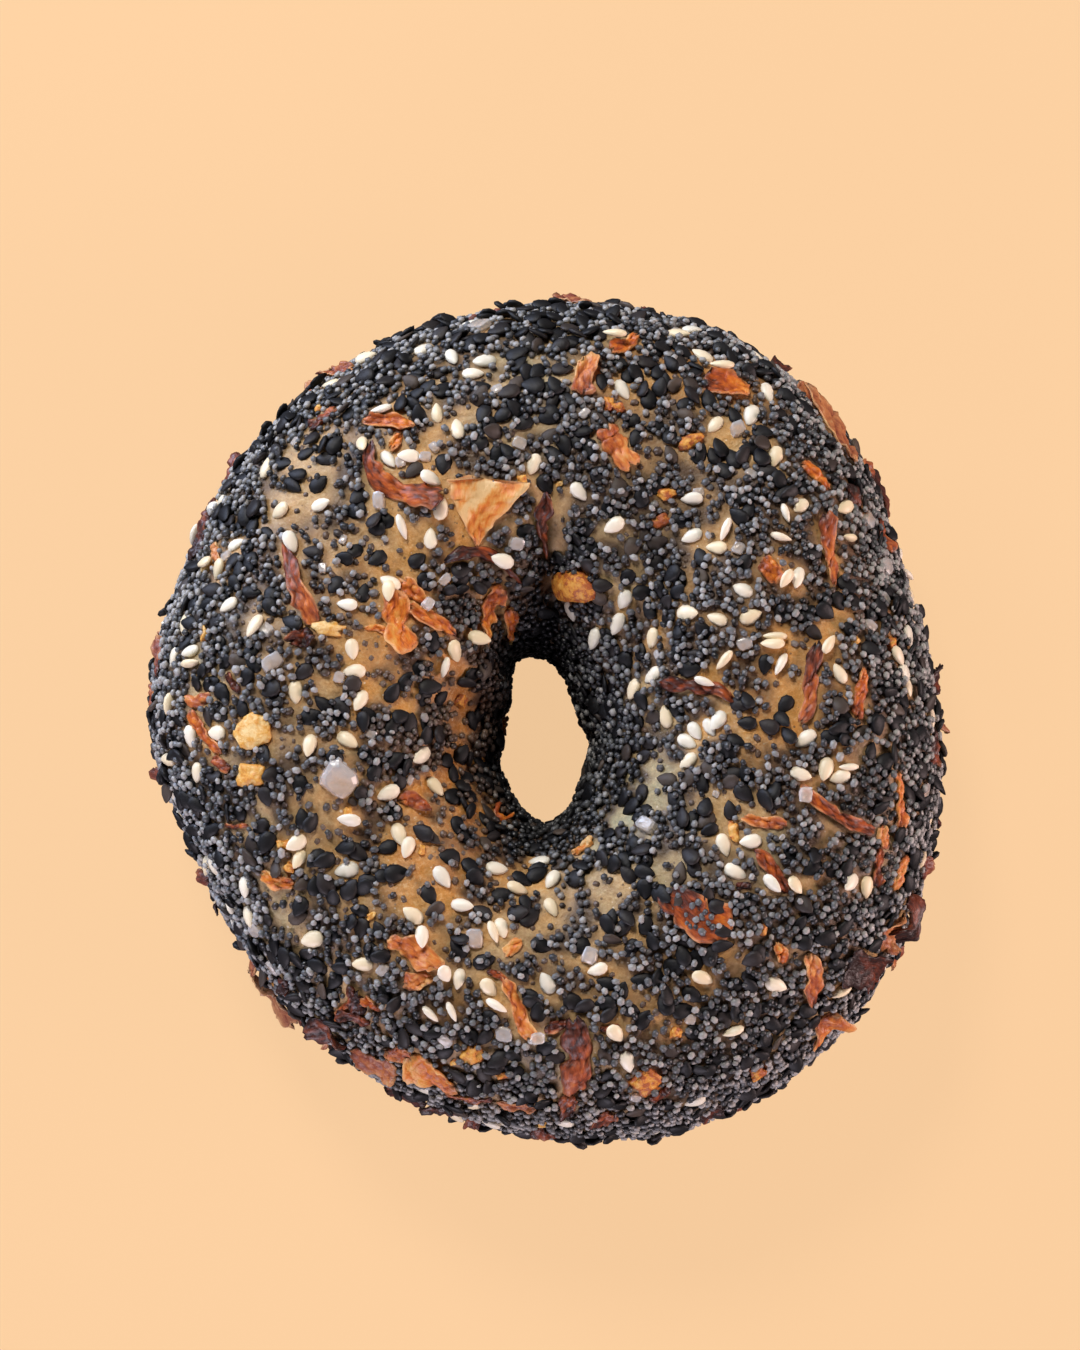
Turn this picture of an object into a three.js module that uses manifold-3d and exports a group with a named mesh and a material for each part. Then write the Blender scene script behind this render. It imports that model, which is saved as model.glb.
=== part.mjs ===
// A hand-rolled "everything" bagel, in millimetres, +Z up, resting flat on z = 0.
// A rope of dough is closed into a ring, boiled, pressed into seeds, flakes and salt, and baked.
// The dough and the toppings baked onto it are one solid; poppy seeds are finer than its facets.
// The origin is on the resting plane, at the middle of the ring's outline.

import * as THREE from "three";
import { mergeVertices } from "three/addons/utils/BufferGeometryUtils.js";
import Module from "manifold-3d";

const wasm = await Module();
wasm.setup();

// ---- Driving dimensions -------------------------------------------------------------------

// The outline and the hole in plan, over the bed of poppy seeds on the sides: radii every 22.5
// degrees, counterclockwise from +X. The outline is round the origin, and the hole round its centre.
const OUTLINE = [
  54.7, 54.1, 57.8, 58.8, 57.6, 56.5, 55.4, 54.0, 54.4, 51.6, 52.8, 55.0, 57.7, 60.0, 59.6, 56.9,
];
const HOLE = [6.8, 6.5, 7.1, 9.4, 12.2, 12.3, 7.5, 7.1, 6.2, 7.5, 8.2, 10.0, 11.6, 9.9, 7.7, 6.8];
const HOLE_CENTRE = new THREE.Vector2(0.2, -3.5);

const WAIST_HEIGHT = 18.0; // where the ring is widest and the hole narrowest
const CREST_RISE = 22.0; // from the waist up to the crest
const SAG_DEPTH = 19.5; // from the waist down, cut flat where it meets the table
const CROWN_FULLNESS = 2.25; // 2 is an ellipse, more is squarer
const SAG_FULLNESS = 2.8;

// Where the rope's ends were pressed together: creases that run from the hole over the crown.
const SEAMS = [
  { from: [2.0, 7.0], to: [0.5, 33.0], depth: 8.5, width: 3.4 },
  { from: [-1.0, -14.0], to: [-2.5, -25.0], depth: 2.5, width: 2.4 },
];
const SEAM_NARROWING = 0.4; // share of its width that a crease loses along its run
const SEAM_START = 4.0; // length over which it deepens, at the hole's edge

// The rope's own unevenness: waves round the ring, each an amplitude, a count and a phase.
const LUMPS = [
  { rise: 0.7, turns: 2, tubes: 1, phase: 0.6 },
  { rise: 0.5, turns: 5, tubes: 2, phase: 2.1 },
  { rise: 0.35, turns: 9, tubes: 3, phase: 4.0 },
];

const RING_STEPS = 64;
const TUBE_STEPS = 24;

// Toppings are placed as they look from a point high over the ring: x and y are where the line from
// there to the topping crosses the height of the waist.
const VIEWPOINT = new THREE.Vector3(-0.5, -19.8, 384.6);

// Dried onion: [x, y, heading in degrees, length, width, sweep in degrees, taper].
const ONION = [
  [-9.0, 29.0, -95, 9.0, 11.0, 0, 0.95],
  [-20.5, 33.6, -38, 14.0, 3.8, 100, -0.4],
  [-34.4, 18.5, -68, 13.0, 3.8, -15, -0.6],
  [-20.4, 13.2, -70, 8.0, 4.6, 10, 0.4],
  [-15.4, 13.6, -25, 7.0, 2.6, 0, 0.4],
  [-21.6, 41.6, -8, 7.0, 2.2, 10, 0],
  [-31.0, 46.8, 30, 5.5, 2.8, 0, 0],
  [-8.2, 22.6, -25, 11.0, 2.4, -45, 0.2],
  [-0.4, 27.0, -60, 9.0, 2.5, 10, 0.2],
  [-8.2, 15.2, -80, 9.0, 3.4, -30, 0.2],
  [5.6, 48.2, 85, 5.6, 3.4, 0, 0],
  [11.3, 52.5, 50, 5.0, 2.2, 0, 0.2],
  [25.7, 46.5, -5, 6.2, 3.2, -20, 0.1],
  [10.5, 37.9, -55, 6.2, 3.6, 30, 0.1],
  [39.8, 40.4, -60, 13.0, 3.6, -20, 0.4],
  [46.9, 31.3, -72, 8.0, 2.2, 10, 0.3],
  [39.9, 23.5, -75, 10.0, 1.9, 15, 0.2],
  [37.4, 4.5, 80, 11.0, 2.2, 15, 0.3],
  [44.2, 3.3, 70, 6.5, 2.0, 0, 0.4],
  [21.6, 4.3, -15, 10.0, 1.9, 0, 0.2],
  [-47.3, -2.3, -60, 7.5, 1.8, 10, 0.2],
  [-52.4, -9.0, -70, 5.0, 1.8, 0, 0.3],
  [-17.9, -12.2, -10, 4.5, 2.4, -50, 0.4],
  [-37.0, -22.7, -15, 5.0, 2.0, 40, 0.2],
  [-17.9, -33.0, -30, 7.6, 2.8, -20, 0],
  [-17.3, -36.6, 10, 3.6, 2.8, 0, 0.5],
  [-3.7, -40.4, -70, 8.5, 2.6, -10, -0.5],
  [-29.0, -43.2, -10, 6.5, 2.6, 10, 0.2],
  [-23.2, -47.6, -40, 6.8, 4.8, 0, 0.1],
  [-37.4, -38.8, -38, 10.0, 3.2, 0, 0.1],
  [-15.4, -49.1, -60, 7.0, 4.0, 30, 0.1],
  [40.9, -13.4, -30, 12.5, 1.9, 55, 0.1],
  [31.9, -21.5, -52, 7.0, 2.0, 0, 0.3],
  [21.4, -27.4, -35, 9.5, 5.2, 10, 0.2],
  [49.6, -11.5, 80, 7.5, 1.8, 0, 0.2],
  [50.6, -27.8, -75, 7.0, 2.4, -60, 0],
  [47.7, -29.5, 20, 5.4, 2.8, 0, 0.3],
  [49.4, -32.8, 60, 4.2, 3.0, 0, 0.1],
  [43.8, -35.3, -25, 8.0, 5.0, 0, 0.1],
  [37.2, -36.3, -70, 8.0, 2.4, 0, 0.2],
  [38.4, -42.6, -65, 5.8, 3.2, 0, 0.2],
  [4.7, -46.8, 95, 10.5, 3.4, 0, 0],
];
const ONION_THICKNESS = 1.1;
const ONION_HEIGHT = 0.1; // of a flake's middle over the crust, which it is pressed into
const ONION_CURL = 0.12; // how far the ends rise, as a share of a flake's length
const ONION_STATIONS = 5; // cross-sections along a flake
const TORN = 0.2; // how far its torn edges stray, as a share of its width
const STAND = 0.9; // slope at which a flake on an upright side stands off it

// Dried garlic: [x, y, heading in degrees, length, width, height].
const GARLIC = [
  [4.3, 18.6, 12, 7.2, 3.8, 2.8],
  [-40.6, -2.1, 30, 5.2, 4.6, 1.8],
  [-40.6, -8.1, 10, 4.2, 3.2, 1.8],
  [-30.1, 12.5, -5, 4.4, 2.2, 1.6],
  [14.2, -50.3, 20, 4.0, 3.8, 1.8],
  [20.8, 38.9, 30, 3.6, 1.9, 1.6],
];
const GARLIC_RISE = 0.3; // of a lump's middle over the crust, as a share of its height

// Coarse salt crystals: [x, y, size].
const SALT = [
  [-28.6, -8.9, 5.0],
  [-8.8, 55.0, 3.2],
  [-22.9, 30.5, 2.4],
  [-37.9, 7.7, 2.7],
  [-38.7, 12.3, 2.2],
  [45.2, 27.8, 2.7],
  [47.6, 21.1, 2.6],
  [27.3, 40.5, 2.4],
  [-9.5, -30.9, 2.8],
  [-37.3, -34.6, 2.5],
  [14.6, -15.5, 2.8],
  [6.5, -33.2, 2.6],
];
const SALT_SHARES = [1.0, 0.8, 0.7]; // a crystal's length, width and height, as shares of its size
const SALT_RISE = 0.2; // of its middle over the crust, as a share of its size

const SESAME = { length: 3.2, width: 2.1, thickness: 1.3 };
const SESAME_HEIGHT = 0.25; // of a seed's middle over the crust
const SESAME_COUNT = 108;
const SESAME_SPACING = 6.8; // least distance between two
const SESAME_LOWEST = 3.0; // none lies lower than this
const SESAME_INNERMOST = -0.8; // nor further in, by the cosine of its angle round the rope
const SESAME_TRIES = 60; // places tried for each one laid
const RANDOM_SEED = 20;

// ---- The dough -----------------------------------------------------------------------------

const TURN = 2 * Math.PI;
const RADIAN = Math.PI / 180;

// A closed Catmull-Rom curve through evenly spaced values, read at an angle.
function around(values, angle) {
  const n = values.length;
  const at = ((((angle / TURN) % 1) + 1) % 1) * n;
  const i = Math.floor(at);
  const f = at - i;
  const [a, b, c, d] = [-1, 0, 1, 2].map((k) => values[(i + k + n) % n]);
  return b + 0.5 * f * (c - a + f * (2 * a - 5 * b + 4 * c - d + f * (3 * (b - c) + d - a)));
}

const smooth = (t) => {
  const k = Math.min(1, Math.max(0, t));
  return k * k * (3 - 2 * k);
};

// How far the seams pull the crown down at a place in plan.
function seamDepth(x, y) {
  let deepest = 0;
  for (const { from, to, depth, width } of SEAMS) {
    const [dx, dy] = [to[0] - from[0], to[1] - from[1]];
    const run = Math.hypot(dx, dy);
    const along = ((x - from[0]) * dx + (y - from[1]) * dy) / run;
    const aside = ((x - from[0]) * dy - (y - from[1]) * dx) / run;
    const spread = width * (1 - SEAM_NARROWING * smooth(along / run));
    const fade = (1 - smooth(along / run)) * smooth(along / SEAM_START + 1);
    deepest = Math.max(deepest, depth * fade * Math.exp(-((aside / spread) ** 2)));
  }
  return deepest;
}

// The crust at an angle round the ring and an angle round the rope: 0 outwards, a quarter up.
function crust(turn, tube) {
  const [c, s] = [Math.cos(tube), Math.sin(tube)];
  const power = 2 / (s >= 0 ? CROWN_FULLNESS : SAG_FULLNESS);
  const across = Math.sign(c) * Math.abs(c) ** power;
  const rise = Math.sign(s) * Math.abs(s) ** power;
  const direction = new THREE.Vector2(Math.cos(turn), Math.sin(turn));
  const outer = direction.clone().multiplyScalar(around(OUTLINE, turn));
  const inner = direction.clone().multiplyScalar(around(HOLE, turn)).add(HOLE_CENTRE);
  const plan = inner.lerp(outer, (across + 1) / 2);
  const waves = LUMPS.map((w) => w.rise * Math.sin(w.turns * turn + w.tubes * tube + w.phase));
  const lump = waves.reduce((sum, wave) => sum + wave);
  const up = Math.max(0, rise);
  let z = WAIST_HEIGHT + rise * (s >= 0 ? CREST_RISE : SAG_DEPTH);
  z += up * (lump - seamDepth(plan.x, plan.y));
  return new THREE.Vector3(plan.x, plan.y, Math.max(0, z));
}

// The outward normal, from the surface's two tangents.
function crustNormal(turn, tube) {
  const step = 0.01;
  const round = crust(turn + step, tube).sub(crust(turn - step, tube));
  const over = crust(turn, tube + step).sub(crust(turn, tube - step));
  return round.cross(over).normalize();
}

// The closed mesh of a torus-like grid whose points come from a function of two whole steps.
function ringGeometry(ringSteps, tubeSteps, point) {
  const positions = [];
  const index = [];
  const at = (i, j) => (i % ringSteps) * tubeSteps + (j % tubeSteps);
  for (let i = 0; i < ringSteps; i++) {
    for (let j = 0; j < tubeSteps; j++) {
      positions.push(...point((i / ringSteps) * TURN, (j / tubeSteps) * TURN).toArray());
      index.push(at(i, j), at(i + 1, j), at(i + 1, j + 1));
      index.push(at(i, j), at(i + 1, j + 1), at(i, j + 1));
    }
  }
  return new THREE.BufferGeometry()
    .setAttribute("position", new THREE.Float32BufferAttribute(positions, 3))
    .setIndex(index);
}

// ---- Solids ----------------------------------------------------------------------------------

// A closed geometry, moved by a matrix, as a manifold solid.
function solid(geometry, matrix = new THREE.Matrix4()) {
  const bare = geometry.clone().applyMatrix4(matrix);
  bare.deleteAttribute("normal");
  bare.deleteAttribute("uv");
  const merged = mergeVertices(bare, 1e-4);
  return new wasm.Manifold(
    new wasm.Mesh({
      numProp: 3,
      vertProperties: merged.attributes.position.array,
      triVerts: new Uint32Array(merged.index.array),
    }),
  );
}

// A manifold solid as a geometry. Only its largest outer skin is kept, which fills sealed hollows.
function geometryOf(joined) {
  const skins = joined.decompose().sort((a, b) => b.volume() - a.volume());
  const mesh = skins[0].getMesh();
  return new THREE.BufferGeometry()
    .setAttribute("position", new THREE.BufferAttribute(mesh.vertProperties, 3))
    .setIndex(new THREE.BufferAttribute(mesh.triVerts, 1));
}

// ---- Toppings --------------------------------------------------------------------------------

// A small seeded random number generator (mulberry32), from 0 to 1.
function randomFrom(seed) {
  let state = seed;
  return () => {
    state = (state + 0x6d2b79f5) | 0;
    let t = Math.imul(state ^ (state >>> 15), 1 | state);
    t = (t + Math.imul(t ^ (t >>> 7), 61 | t)) ^ t;
    return ((t ^ (t >>> 14)) >>> 0) / 4294967296;
  };
}
const random = randomFrom(RANDOM_SEED);

// Where a place on the crust looks to be from VIEWPOINT.
function seen(turn, tube) {
  const sight = crust(turn, tube).sub(VIEWPOINT);
  return sight.multiplyScalar((WAIST_HEIGHT - VIEWPOINT.z) / sight.z).add(VIEWPOINT);
}

// The two angles of the place on the crust that is seen at (x, y), by Newton's method. Each round
// turns them by no more than a largest step, and the place stays a margin above the waist.
function seenAt(x, y) {
  const rounds = 40;
  const step = 1e-3;
  const largest = 0.3;
  const margin = 0.12;
  let turn = Math.atan2(y - HOLE_CENTRE.y / 2, x);
  let tube = Math.PI / 2;
  for (let n = 0; n < rounds; n++) {
    const p = seen(turn, tube);
    const a = seen(turn + step, tube).sub(p).divideScalar(step);
    const b = seen(turn, tube + step).sub(p).divideScalar(step);
    const [ex, ey] = [x - p.x, y - p.y];
    const det = a.x * b.y - a.y * b.x || 1e-9;
    turn += THREE.MathUtils.clamp((ex * b.y - ey * b.x) / det, -largest, largest);
    tube += THREE.MathUtils.clamp((a.x * ey - a.y * ex) / det, -largest, largest);
    tube = THREE.MathUtils.clamp(tube, margin, Math.PI - margin);
  }
  return [turn, tube];
}

// A frame on the crust: +X along a heading seen in plan, +Z out of the crust, raised by a height.
// Where the crust is steep, the frame stands off it by a slope and so faces up more.
function seat([turn, tube], heading, height, slope = 0) {
  const out = crustNormal(turn, tube);
  const place = crust(turn, tube).addScaledVector(out, height);
  out.setZ(out.z + slope * (1 - out.z) ** 2).normalize();
  const along = new THREE.Vector3(Math.cos(heading), Math.sin(heading), 0);
  along.addScaledVector(out, -along.dot(out)).normalize();
  return new THREE.Matrix4().makeBasis(along, out.clone().cross(along), out).setPosition(place);
}

// A flake of dried onion: a thin strip with torn edges, whose midline turns through a sweep.
// A taper above 0 narrows it towards its far end, and one below 0 towards its near end.
// The strip is bent along a parabola, so that its ends rise off the crust.
function flakeGeometry(length, width, sweep, taper) {
  const [left, right] = [[], []];
  const tear = () => 1 + TORN * (2 * random() - 1);
  const middle = new THREE.Vector2();
  for (let i = 0; i < ONION_STATIONS; i++) {
    const u = i / (ONION_STATIONS - 1);
    const heading = sweep * (u - 0.5);
    const ahead = new THREE.Vector2(Math.cos(heading), Math.sin(heading));
    const aside = new THREE.Vector2(-ahead.y, ahead.x);
    const half = (width / 2) * (1 - Math.max(0, taper) * u + Math.min(0, taper) * (1 - u));
    left.push(middle.clone().addScaledVector(aside, half * tear()));
    right.push(middle.clone().addScaledVector(aside, -half * tear()));
    middle.addScaledVector(ahead, length / (ONION_STATIONS - 1));
  }
  const outline = new THREE.Shape([...right, ...left.reverse()]);
  const flake = new THREE.ExtrudeGeometry(outline, { depth: ONION_THICKNESS, bevelEnabled: false }).center();
  const at = flake.attributes.position;
  for (let i = 0; i < at.count; i++) {
    const reach = (2 * at.getX(i)) / length;
    at.setZ(i, at.getZ(i) + ONION_CURL * length * reach ** 2);
  }
  return flake;
}

// A sesame seed: a flattened drop, pointed at its -X end and blunt at its +X end.
function sesameGeometry({ length, width, thickness }) {
  const profile = [
    [0, -length / 2],
    [0.62 * (width / 2), -0.22 * length],
    [width / 2, 0.18 * length],
    [0, length / 2],
  ].map(([r, along]) => new THREE.Vector2(r, along));
  return new THREE.LatheGeometry(profile, 6)
    .rotateZ(-Math.PI / 2)
    .scale(1, 1, thickness / width);
}

function onionSolids() {
  return ONION.map(([x, y, heading, length, width, sweep, taper]) => {
    const flake = flakeGeometry(length, width, sweep * RADIAN, taper);
    return solid(flake, seat(seenAt(x, y), heading * RADIAN, ONION_HEIGHT, STAND));
  });
}

function garlicSolids() {
  return GARLIC.map(([x, y, heading, length, width, height]) => {
    const lump = new THREE.IcosahedronGeometry(0.5, 0).scale(length, width, height);
    return solid(lump, seat(seenAt(x, y), heading * RADIAN, GARLIC_RISE * height));
  });
}

function saltSolids() {
  return SALT.map(([x, y, size]) => {
    const crystal = new THREE.BoxGeometry(...SALT_SHARES.map((share) => share * size));
    return solid(crystal, seat(seenAt(x, y), TURN * random(), SALT_RISE * size));
  });
}

// Sesame seeds all over but the resting face, no two of them close together.
function sesameSolids(taken) {
  const seed = sesameGeometry(SESAME);
  const solids = [];
  for (let n = 0; solids.length < SESAME_COUNT && n < SESAME_TRIES * SESAME_COUNT; n++) {
    const [turn, tube, heading] = [TURN * random(), TURN * random(), TURN * random()];
    const place = crust(turn, tube);
    const outside = place.z < SESAME_LOWEST || Math.cos(tube) < SESAME_INNERMOST;
    if (outside || taken.some((p) => p.distanceTo(place) < SESAME_SPACING)) continue;
    taken.push(place);
    solids.push(solid(seed, seat([turn, tube], heading, SESAME_HEIGHT)));
  }
  return solids;
}

// ---- The bagel ---------------------------------------------------------------------------------

const dough = solid(ringGeometry(RING_STEPS, TUBE_STEPS, crust));
const taken = [...ONION, ...GARLIC, ...SALT].map(([x, y]) => crust(...seenAt(x, y)));
const toppings = [...onionSolids(), ...garlicSolids(), ...saltSolids(), ...sesameSolids(taken)];

const bagel = new THREE.Mesh(
  geometryOf(wasm.Manifold.union([dough, ...toppings])),
  new THREE.MeshStandardMaterial({ color: 0x6b5a44, roughness: 0.6, metalness: 0 }),
);
bagel.name = "bagel";

const part = new THREE.Group();
part.add(bagel);

export default part;
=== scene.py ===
"""An everything bagel: a baked ring of dough crusted with onion, garlic, salt, sesame and poppy seed.

The dough is one ring, drawn as a fine surface over the same form as the solid model. Each kind of
topping is one mesh. They are laid on the crust in the order of the sections, largest first, so that
a small seed settles between the big ones or on top of them.
Lengths are in millimetres. put(), the camera, the lights and the materials turn them into metres.
"""

import math

import bpy
import numpy as np
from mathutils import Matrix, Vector
from mathutils.bvhtree import BVHTree


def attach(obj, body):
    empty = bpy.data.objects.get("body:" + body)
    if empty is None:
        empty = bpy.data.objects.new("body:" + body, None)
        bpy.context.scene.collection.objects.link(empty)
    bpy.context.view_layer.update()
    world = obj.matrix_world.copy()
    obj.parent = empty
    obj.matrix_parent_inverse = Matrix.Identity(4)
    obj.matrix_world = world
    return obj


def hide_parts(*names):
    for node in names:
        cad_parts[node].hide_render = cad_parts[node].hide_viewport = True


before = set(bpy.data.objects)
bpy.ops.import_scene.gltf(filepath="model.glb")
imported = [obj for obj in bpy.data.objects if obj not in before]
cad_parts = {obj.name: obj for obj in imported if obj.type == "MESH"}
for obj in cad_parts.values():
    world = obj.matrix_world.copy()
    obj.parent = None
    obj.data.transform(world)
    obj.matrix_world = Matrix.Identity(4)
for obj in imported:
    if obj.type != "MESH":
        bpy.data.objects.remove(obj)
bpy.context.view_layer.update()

# ---- The view -----------------------------------------------------------------------------------
# A camera on a copy stand looks almost straight down at the ring. The picture is 1080 by 1350
# pixels, and one pixel is PIXEL wide at the height where the ring is widest.

METRE = 1000.0
TURN = 2 * math.pi
WAIST_HEIGHT = 18.0
PICTURE = (1080, 1350)
PIXEL = 0.14
RING_MIDDLE = (543.5, 717.0)  # the pixel over the middle of the ring
LENS = 70.0
SENSOR = 36.0  # spans the long side of the picture
ELEVATION = math.radians(86)
NEAREST = 10.0  # nothing closer to the lens is drawn

aim = Vector((
    (PICTURE[0] / 2 - RING_MIDDLE[0]) * PIXEL,
    (RING_MIDDLE[1] - PICTURE[1] / 2) * PIXEL,
    WAIST_HEIGHT,
))
distance = PICTURE[1] * PIXEL * LENS / SENSOR
back = Vector((0, -math.cos(ELEVATION), math.sin(ELEVATION)))
eye = aim + distance * back

camera = bpy.data.objects.new("camera", bpy.data.cameras.new("camera"))
camera.data.lens = LENS
camera.data.sensor_width = SENSOR
camera.data.clip_start = NEAREST / METRE
camera.location = eye / METRE
camera.rotation_mode = "QUATERNION"
camera.rotation_quaternion = (-back).to_track_quat("-Z", "Y")
bpy.context.scene.collection.objects.link(camera)
bpy.context.scene.camera = camera
bpy.context.scene.view_settings.view_transform = "Standard"

# ---- The table ----------------------------------------------------------------------------------
# A sheet of matt peach paper on a light table, far wider than the ring. Most of its light comes up
# through it, so the ring throws only a faint shadow. It is a plain plane: four corners, one face.

PAPER = "F9CFA0"
PAPER_REACH = 90000.0
THROUGH = 0.90  # share of the paper's light that comes up through it
BOUNCED = 0.12  # share of the lamps' light that it throws back


def paint(code):
    """Linear colour of an sRGB hex code: a channel c becomes ((c + 0.055) / 1.055) ** 2.4."""
    channels = np.array([int(code[i : i + 2], 16) / 255 for i in (0, 2, 4)])
    low = channels / 12.92
    high = ((channels + 0.055) / 1.055) ** 2.4
    return (*np.where(channels <= 0.04045, low, high).tolist(), 1.0)


def add(tree, kind, inputs=None, stops=(), **settings):
    """A shader node of a kind in a tree, with its inputs, its ramp's stops and its other settings.

    An input is a number, the hex code of a colour, a socket, or a node, whose first socket in use it
    then takes. A stop is a place on the ramp and the hex code of a colour.
    """
    made = tree.nodes.new("ShaderNode" + kind)
    for name, value in settings.items():
        setattr(made, name, value)
    for name, value in (inputs or {}).items():
        if isinstance(value, bpy.types.Node):
            value = next(socket for socket in value.outputs if socket.enabled)
        if isinstance(value, bpy.types.NodeSocket):
            tree.links.new(value, made.inputs[name])
        else:
            made.inputs[name].default_value = paint(value) if isinstance(value, str) else value
    if stops:
        ramp = made.color_ramp.elements
        while len(ramp) < len(stops):
            ramp.new(1.0)
        for element, (place, code) in zip(ramp, stops):
            element.position = place
            element.color = paint(code)
    return made


def finish_of(name):
    """A new material with an empty node tree."""
    material = bpy.data.materials.new(name)
    material.use_nodes = True
    material.node_tree.nodes.clear()
    return material, material.node_tree


def put(name, points, faces, material, marks=None):
    """A smooth mesh object from points and from arrays of faces, a row for each face's corners.

    marks are numbers for each point, kept as attributes of those names.
    """
    mesh = bpy.data.meshes.new(name)
    corners = np.concatenate([f.ravel() for f in faces])
    sizes = np.concatenate([np.full(len(f), f.shape[1]) for f in faces])
    mesh.vertices.add(len(points))
    mesh.loops.add(len(corners))
    mesh.polygons.add(len(sizes))
    mesh.vertices.foreach_set("co", (np.asarray(points) / METRE).astype(np.float32).ravel())
    mesh.loops.foreach_set("vertex_index", corners.astype(np.int32))
    mesh.polygons.foreach_set("loop_start", (np.cumsum(sizes) - sizes).astype(np.int32))
    mesh.update(calc_edges=True)
    mesh.shade_smooth()
    for mark, values in (marks or {}).items():
        attribute = mesh.attributes.new(mark, "FLOAT", "POINT")
        attribute.data.foreach_set("value", np.asarray(values, np.float32).ravel())
    mesh.materials.append(material)
    made = bpy.data.objects.new(name, mesh)
    bpy.context.scene.collection.objects.link(made)
    return made


# Matt dyed paper: even, with no gloss.
paper, tree = finish_of("matt_peach_paper")
bounced = tuple(BOUNCED * channel for channel in paint(PAPER)[:3]) + (1.0,)
shader = add(
    tree, "BsdfPrincipled",
    {"Base Color": bounced, "Roughness": 0.9, "Specular IOR Level": 0.0,
     "Emission Color": PAPER, "Emission Strength": THROUGH},
)
add(tree, "OutputMaterial", {"Surface": shader})

table_corners = PAPER_REACH * np.array([[-1, -1, 0], [1, -1, 0], [1, 1, 0], [-1, 1, 0]], float)
table = put("table", table_corners, [np.array([[0, 1, 2, 3]])], paper)
table.visible_diffuse = False  # its glow doesn't reach the ring, whose sides stay dark
table.visible_glossy = False

# ---- The light ----------------------------------------------------------------------------------
# One soft lamp hangs high behind the ring. A window throws weak cool light from the back left, a lamp
# weak warm light from the right, and a wall a little from the front left, so each slope takes the
# colour that it faces.

LAMPS = [  # name, place, width, watts, colour
    ("overhead", (-160.0, 440.0, 550.0), 180.0, 3.3, "FFF8F0"),
    ("window", (-440.0, 380.0, 190.0), 360.0, 3.9, "CEDCFF"),
    ("lamp", (580.0, -140.0, 170.0), 360.0, 3.4, "FFE0DE"),
    ("wall", (-200.0, -540.0, 170.0), 360.0, 2.5, "F4E8FA"),
]
SKY = [  # height, as the sine of the angle over the horizon, and colour
    (-0.03, "5C5456"),
    (-0.01, "FFD9A8"),  # the strip past the far edge of the sheet of paper
    (0.01, "FFD9A8"),
    (0.06, "EEE9EE"),
    (0.26, "EEE9EE"),
    (0.60, "141210"),
]
SKY_STRENGTH = 0.60
HORIZON = 0.1  # where the horizon lies on the ramp of the sky

for name, place, width, watts, colour in LAMPS:
    lamp = bpy.data.objects.new(name, bpy.data.lights.new(name, "AREA"))
    lamp.data.shape = "DISK"
    lamp.data.size = width / METRE
    lamp.data.energy = watts
    lamp.data.color = paint(colour)[:3]
    lamp.location = Vector(place) / METRE
    lamp.rotation_mode = "QUATERNION"
    lamp.rotation_quaternion = (-Vector(place)).to_track_quat("-Z", "Y")
    bpy.context.scene.collection.objects.link(lamp)

# The room's own light: pale round the horizon, weaker overhead, and dim from below.
sky = bpy.data.worlds.new("sky")
sky.use_nodes = True
tree = sky.node_tree
tree.nodes.clear()
way = add(tree, "TexCoord").outputs["Generated"]
upward = add(tree, "SeparateXYZ", {"Vector": way}).outputs["Z"]
on_ramp = add(tree, "Math", {0: upward, 1: HORIZON}, operation="ADD")
dome = add(tree, "ValToRGB", {"Fac": on_ramp}, [(HORIZON + height, code) for height, code in SKY])
glow = add(tree, "Background", {"Color": dome, "Strength": SKY_STRENGTH})
add(tree, "OutputWorld", {"Surface": glow})
bpy.context.scene.world = sky

# ---- The crust ----------------------------------------------------------------------------------
# The skin of a hand-rolled ring of wheat dough, boiled and then baked. It is thin, satiny and finely
# blistered, browned on the crown and pale in the folds. Nothing fixes it: the ring lies on its base.

OUTLINE = [
    53.9, 53.3, 57.0, 58.0, 56.8, 55.7, 54.6, 53.2, 53.6, 50.8, 52.0, 54.2, 56.9, 59.2, 58.8, 56.1,
]
HOLE = [7.5, 7.15, 7.8, 10.1, 12.9, 13.0, 8.2, 7.8, 6.9, 8.2, 8.9, 10.7, 12.3, 10.6, 8.4, 7.5]
HOLE_CENTRE = (0.2, -3.5)
CREST_RISE = 22.0
SAG_DEPTH = 19.5
CROWN_FULLNESS = 2.25
SAG_FULLNESS = 2.8
SEAMS = [  # from, to, depth, width
    ((2.0, 7.0), (0.5, 33.0), 8.5, 3.4),
    ((-1.0, -14.0), (-2.5, -25.0), 2.5, 2.4),
]
SEAM_NARROWING = 0.4  # share of its width that a crease loses along it
SEAM_START = 4.0  # length over which it deepens from nothing
LUMPS = [  # rise, turns, tubes, phase
    (0.7, 2, 1, 0.6),
    (0.5, 5, 2, 2.1),
    (0.35, 9, 3, 4.0),
]
CRUST_STEPS = (640, 150)  # round the ring and round the rope
SECTION_STEPS = 6000  # for measuring the length of the rope's section
BASE_HEIGHT = 0.5  # the dough itself, over the seeds pressed into its underside
BLISTERS = [  # wavelength, height
    (13.0, 0.22),
    (4.5, 0.10),
    (1.9, 0.035),
]
WAVES = 14
SWELL_PEAK = 1.6  # height of a swell's usual peaks, in standard deviations


def around(values, angle):
    """A closed Catmull-Rom curve through evenly spaced values, read at an angle in radians."""
    values = np.asarray(values)
    at = (angle / TURN % 1.0) * len(values)
    i = np.floor(at).astype(int)
    f = at - i
    a, b, c, d = (values[(i + k) % len(values)] for k in (-1, 0, 1, 2))
    return b + 0.5 * f * (c - a + f * (2 * a - 5 * b + 4 * c - d + f * (3 * (b - c) + d - a)))


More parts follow.
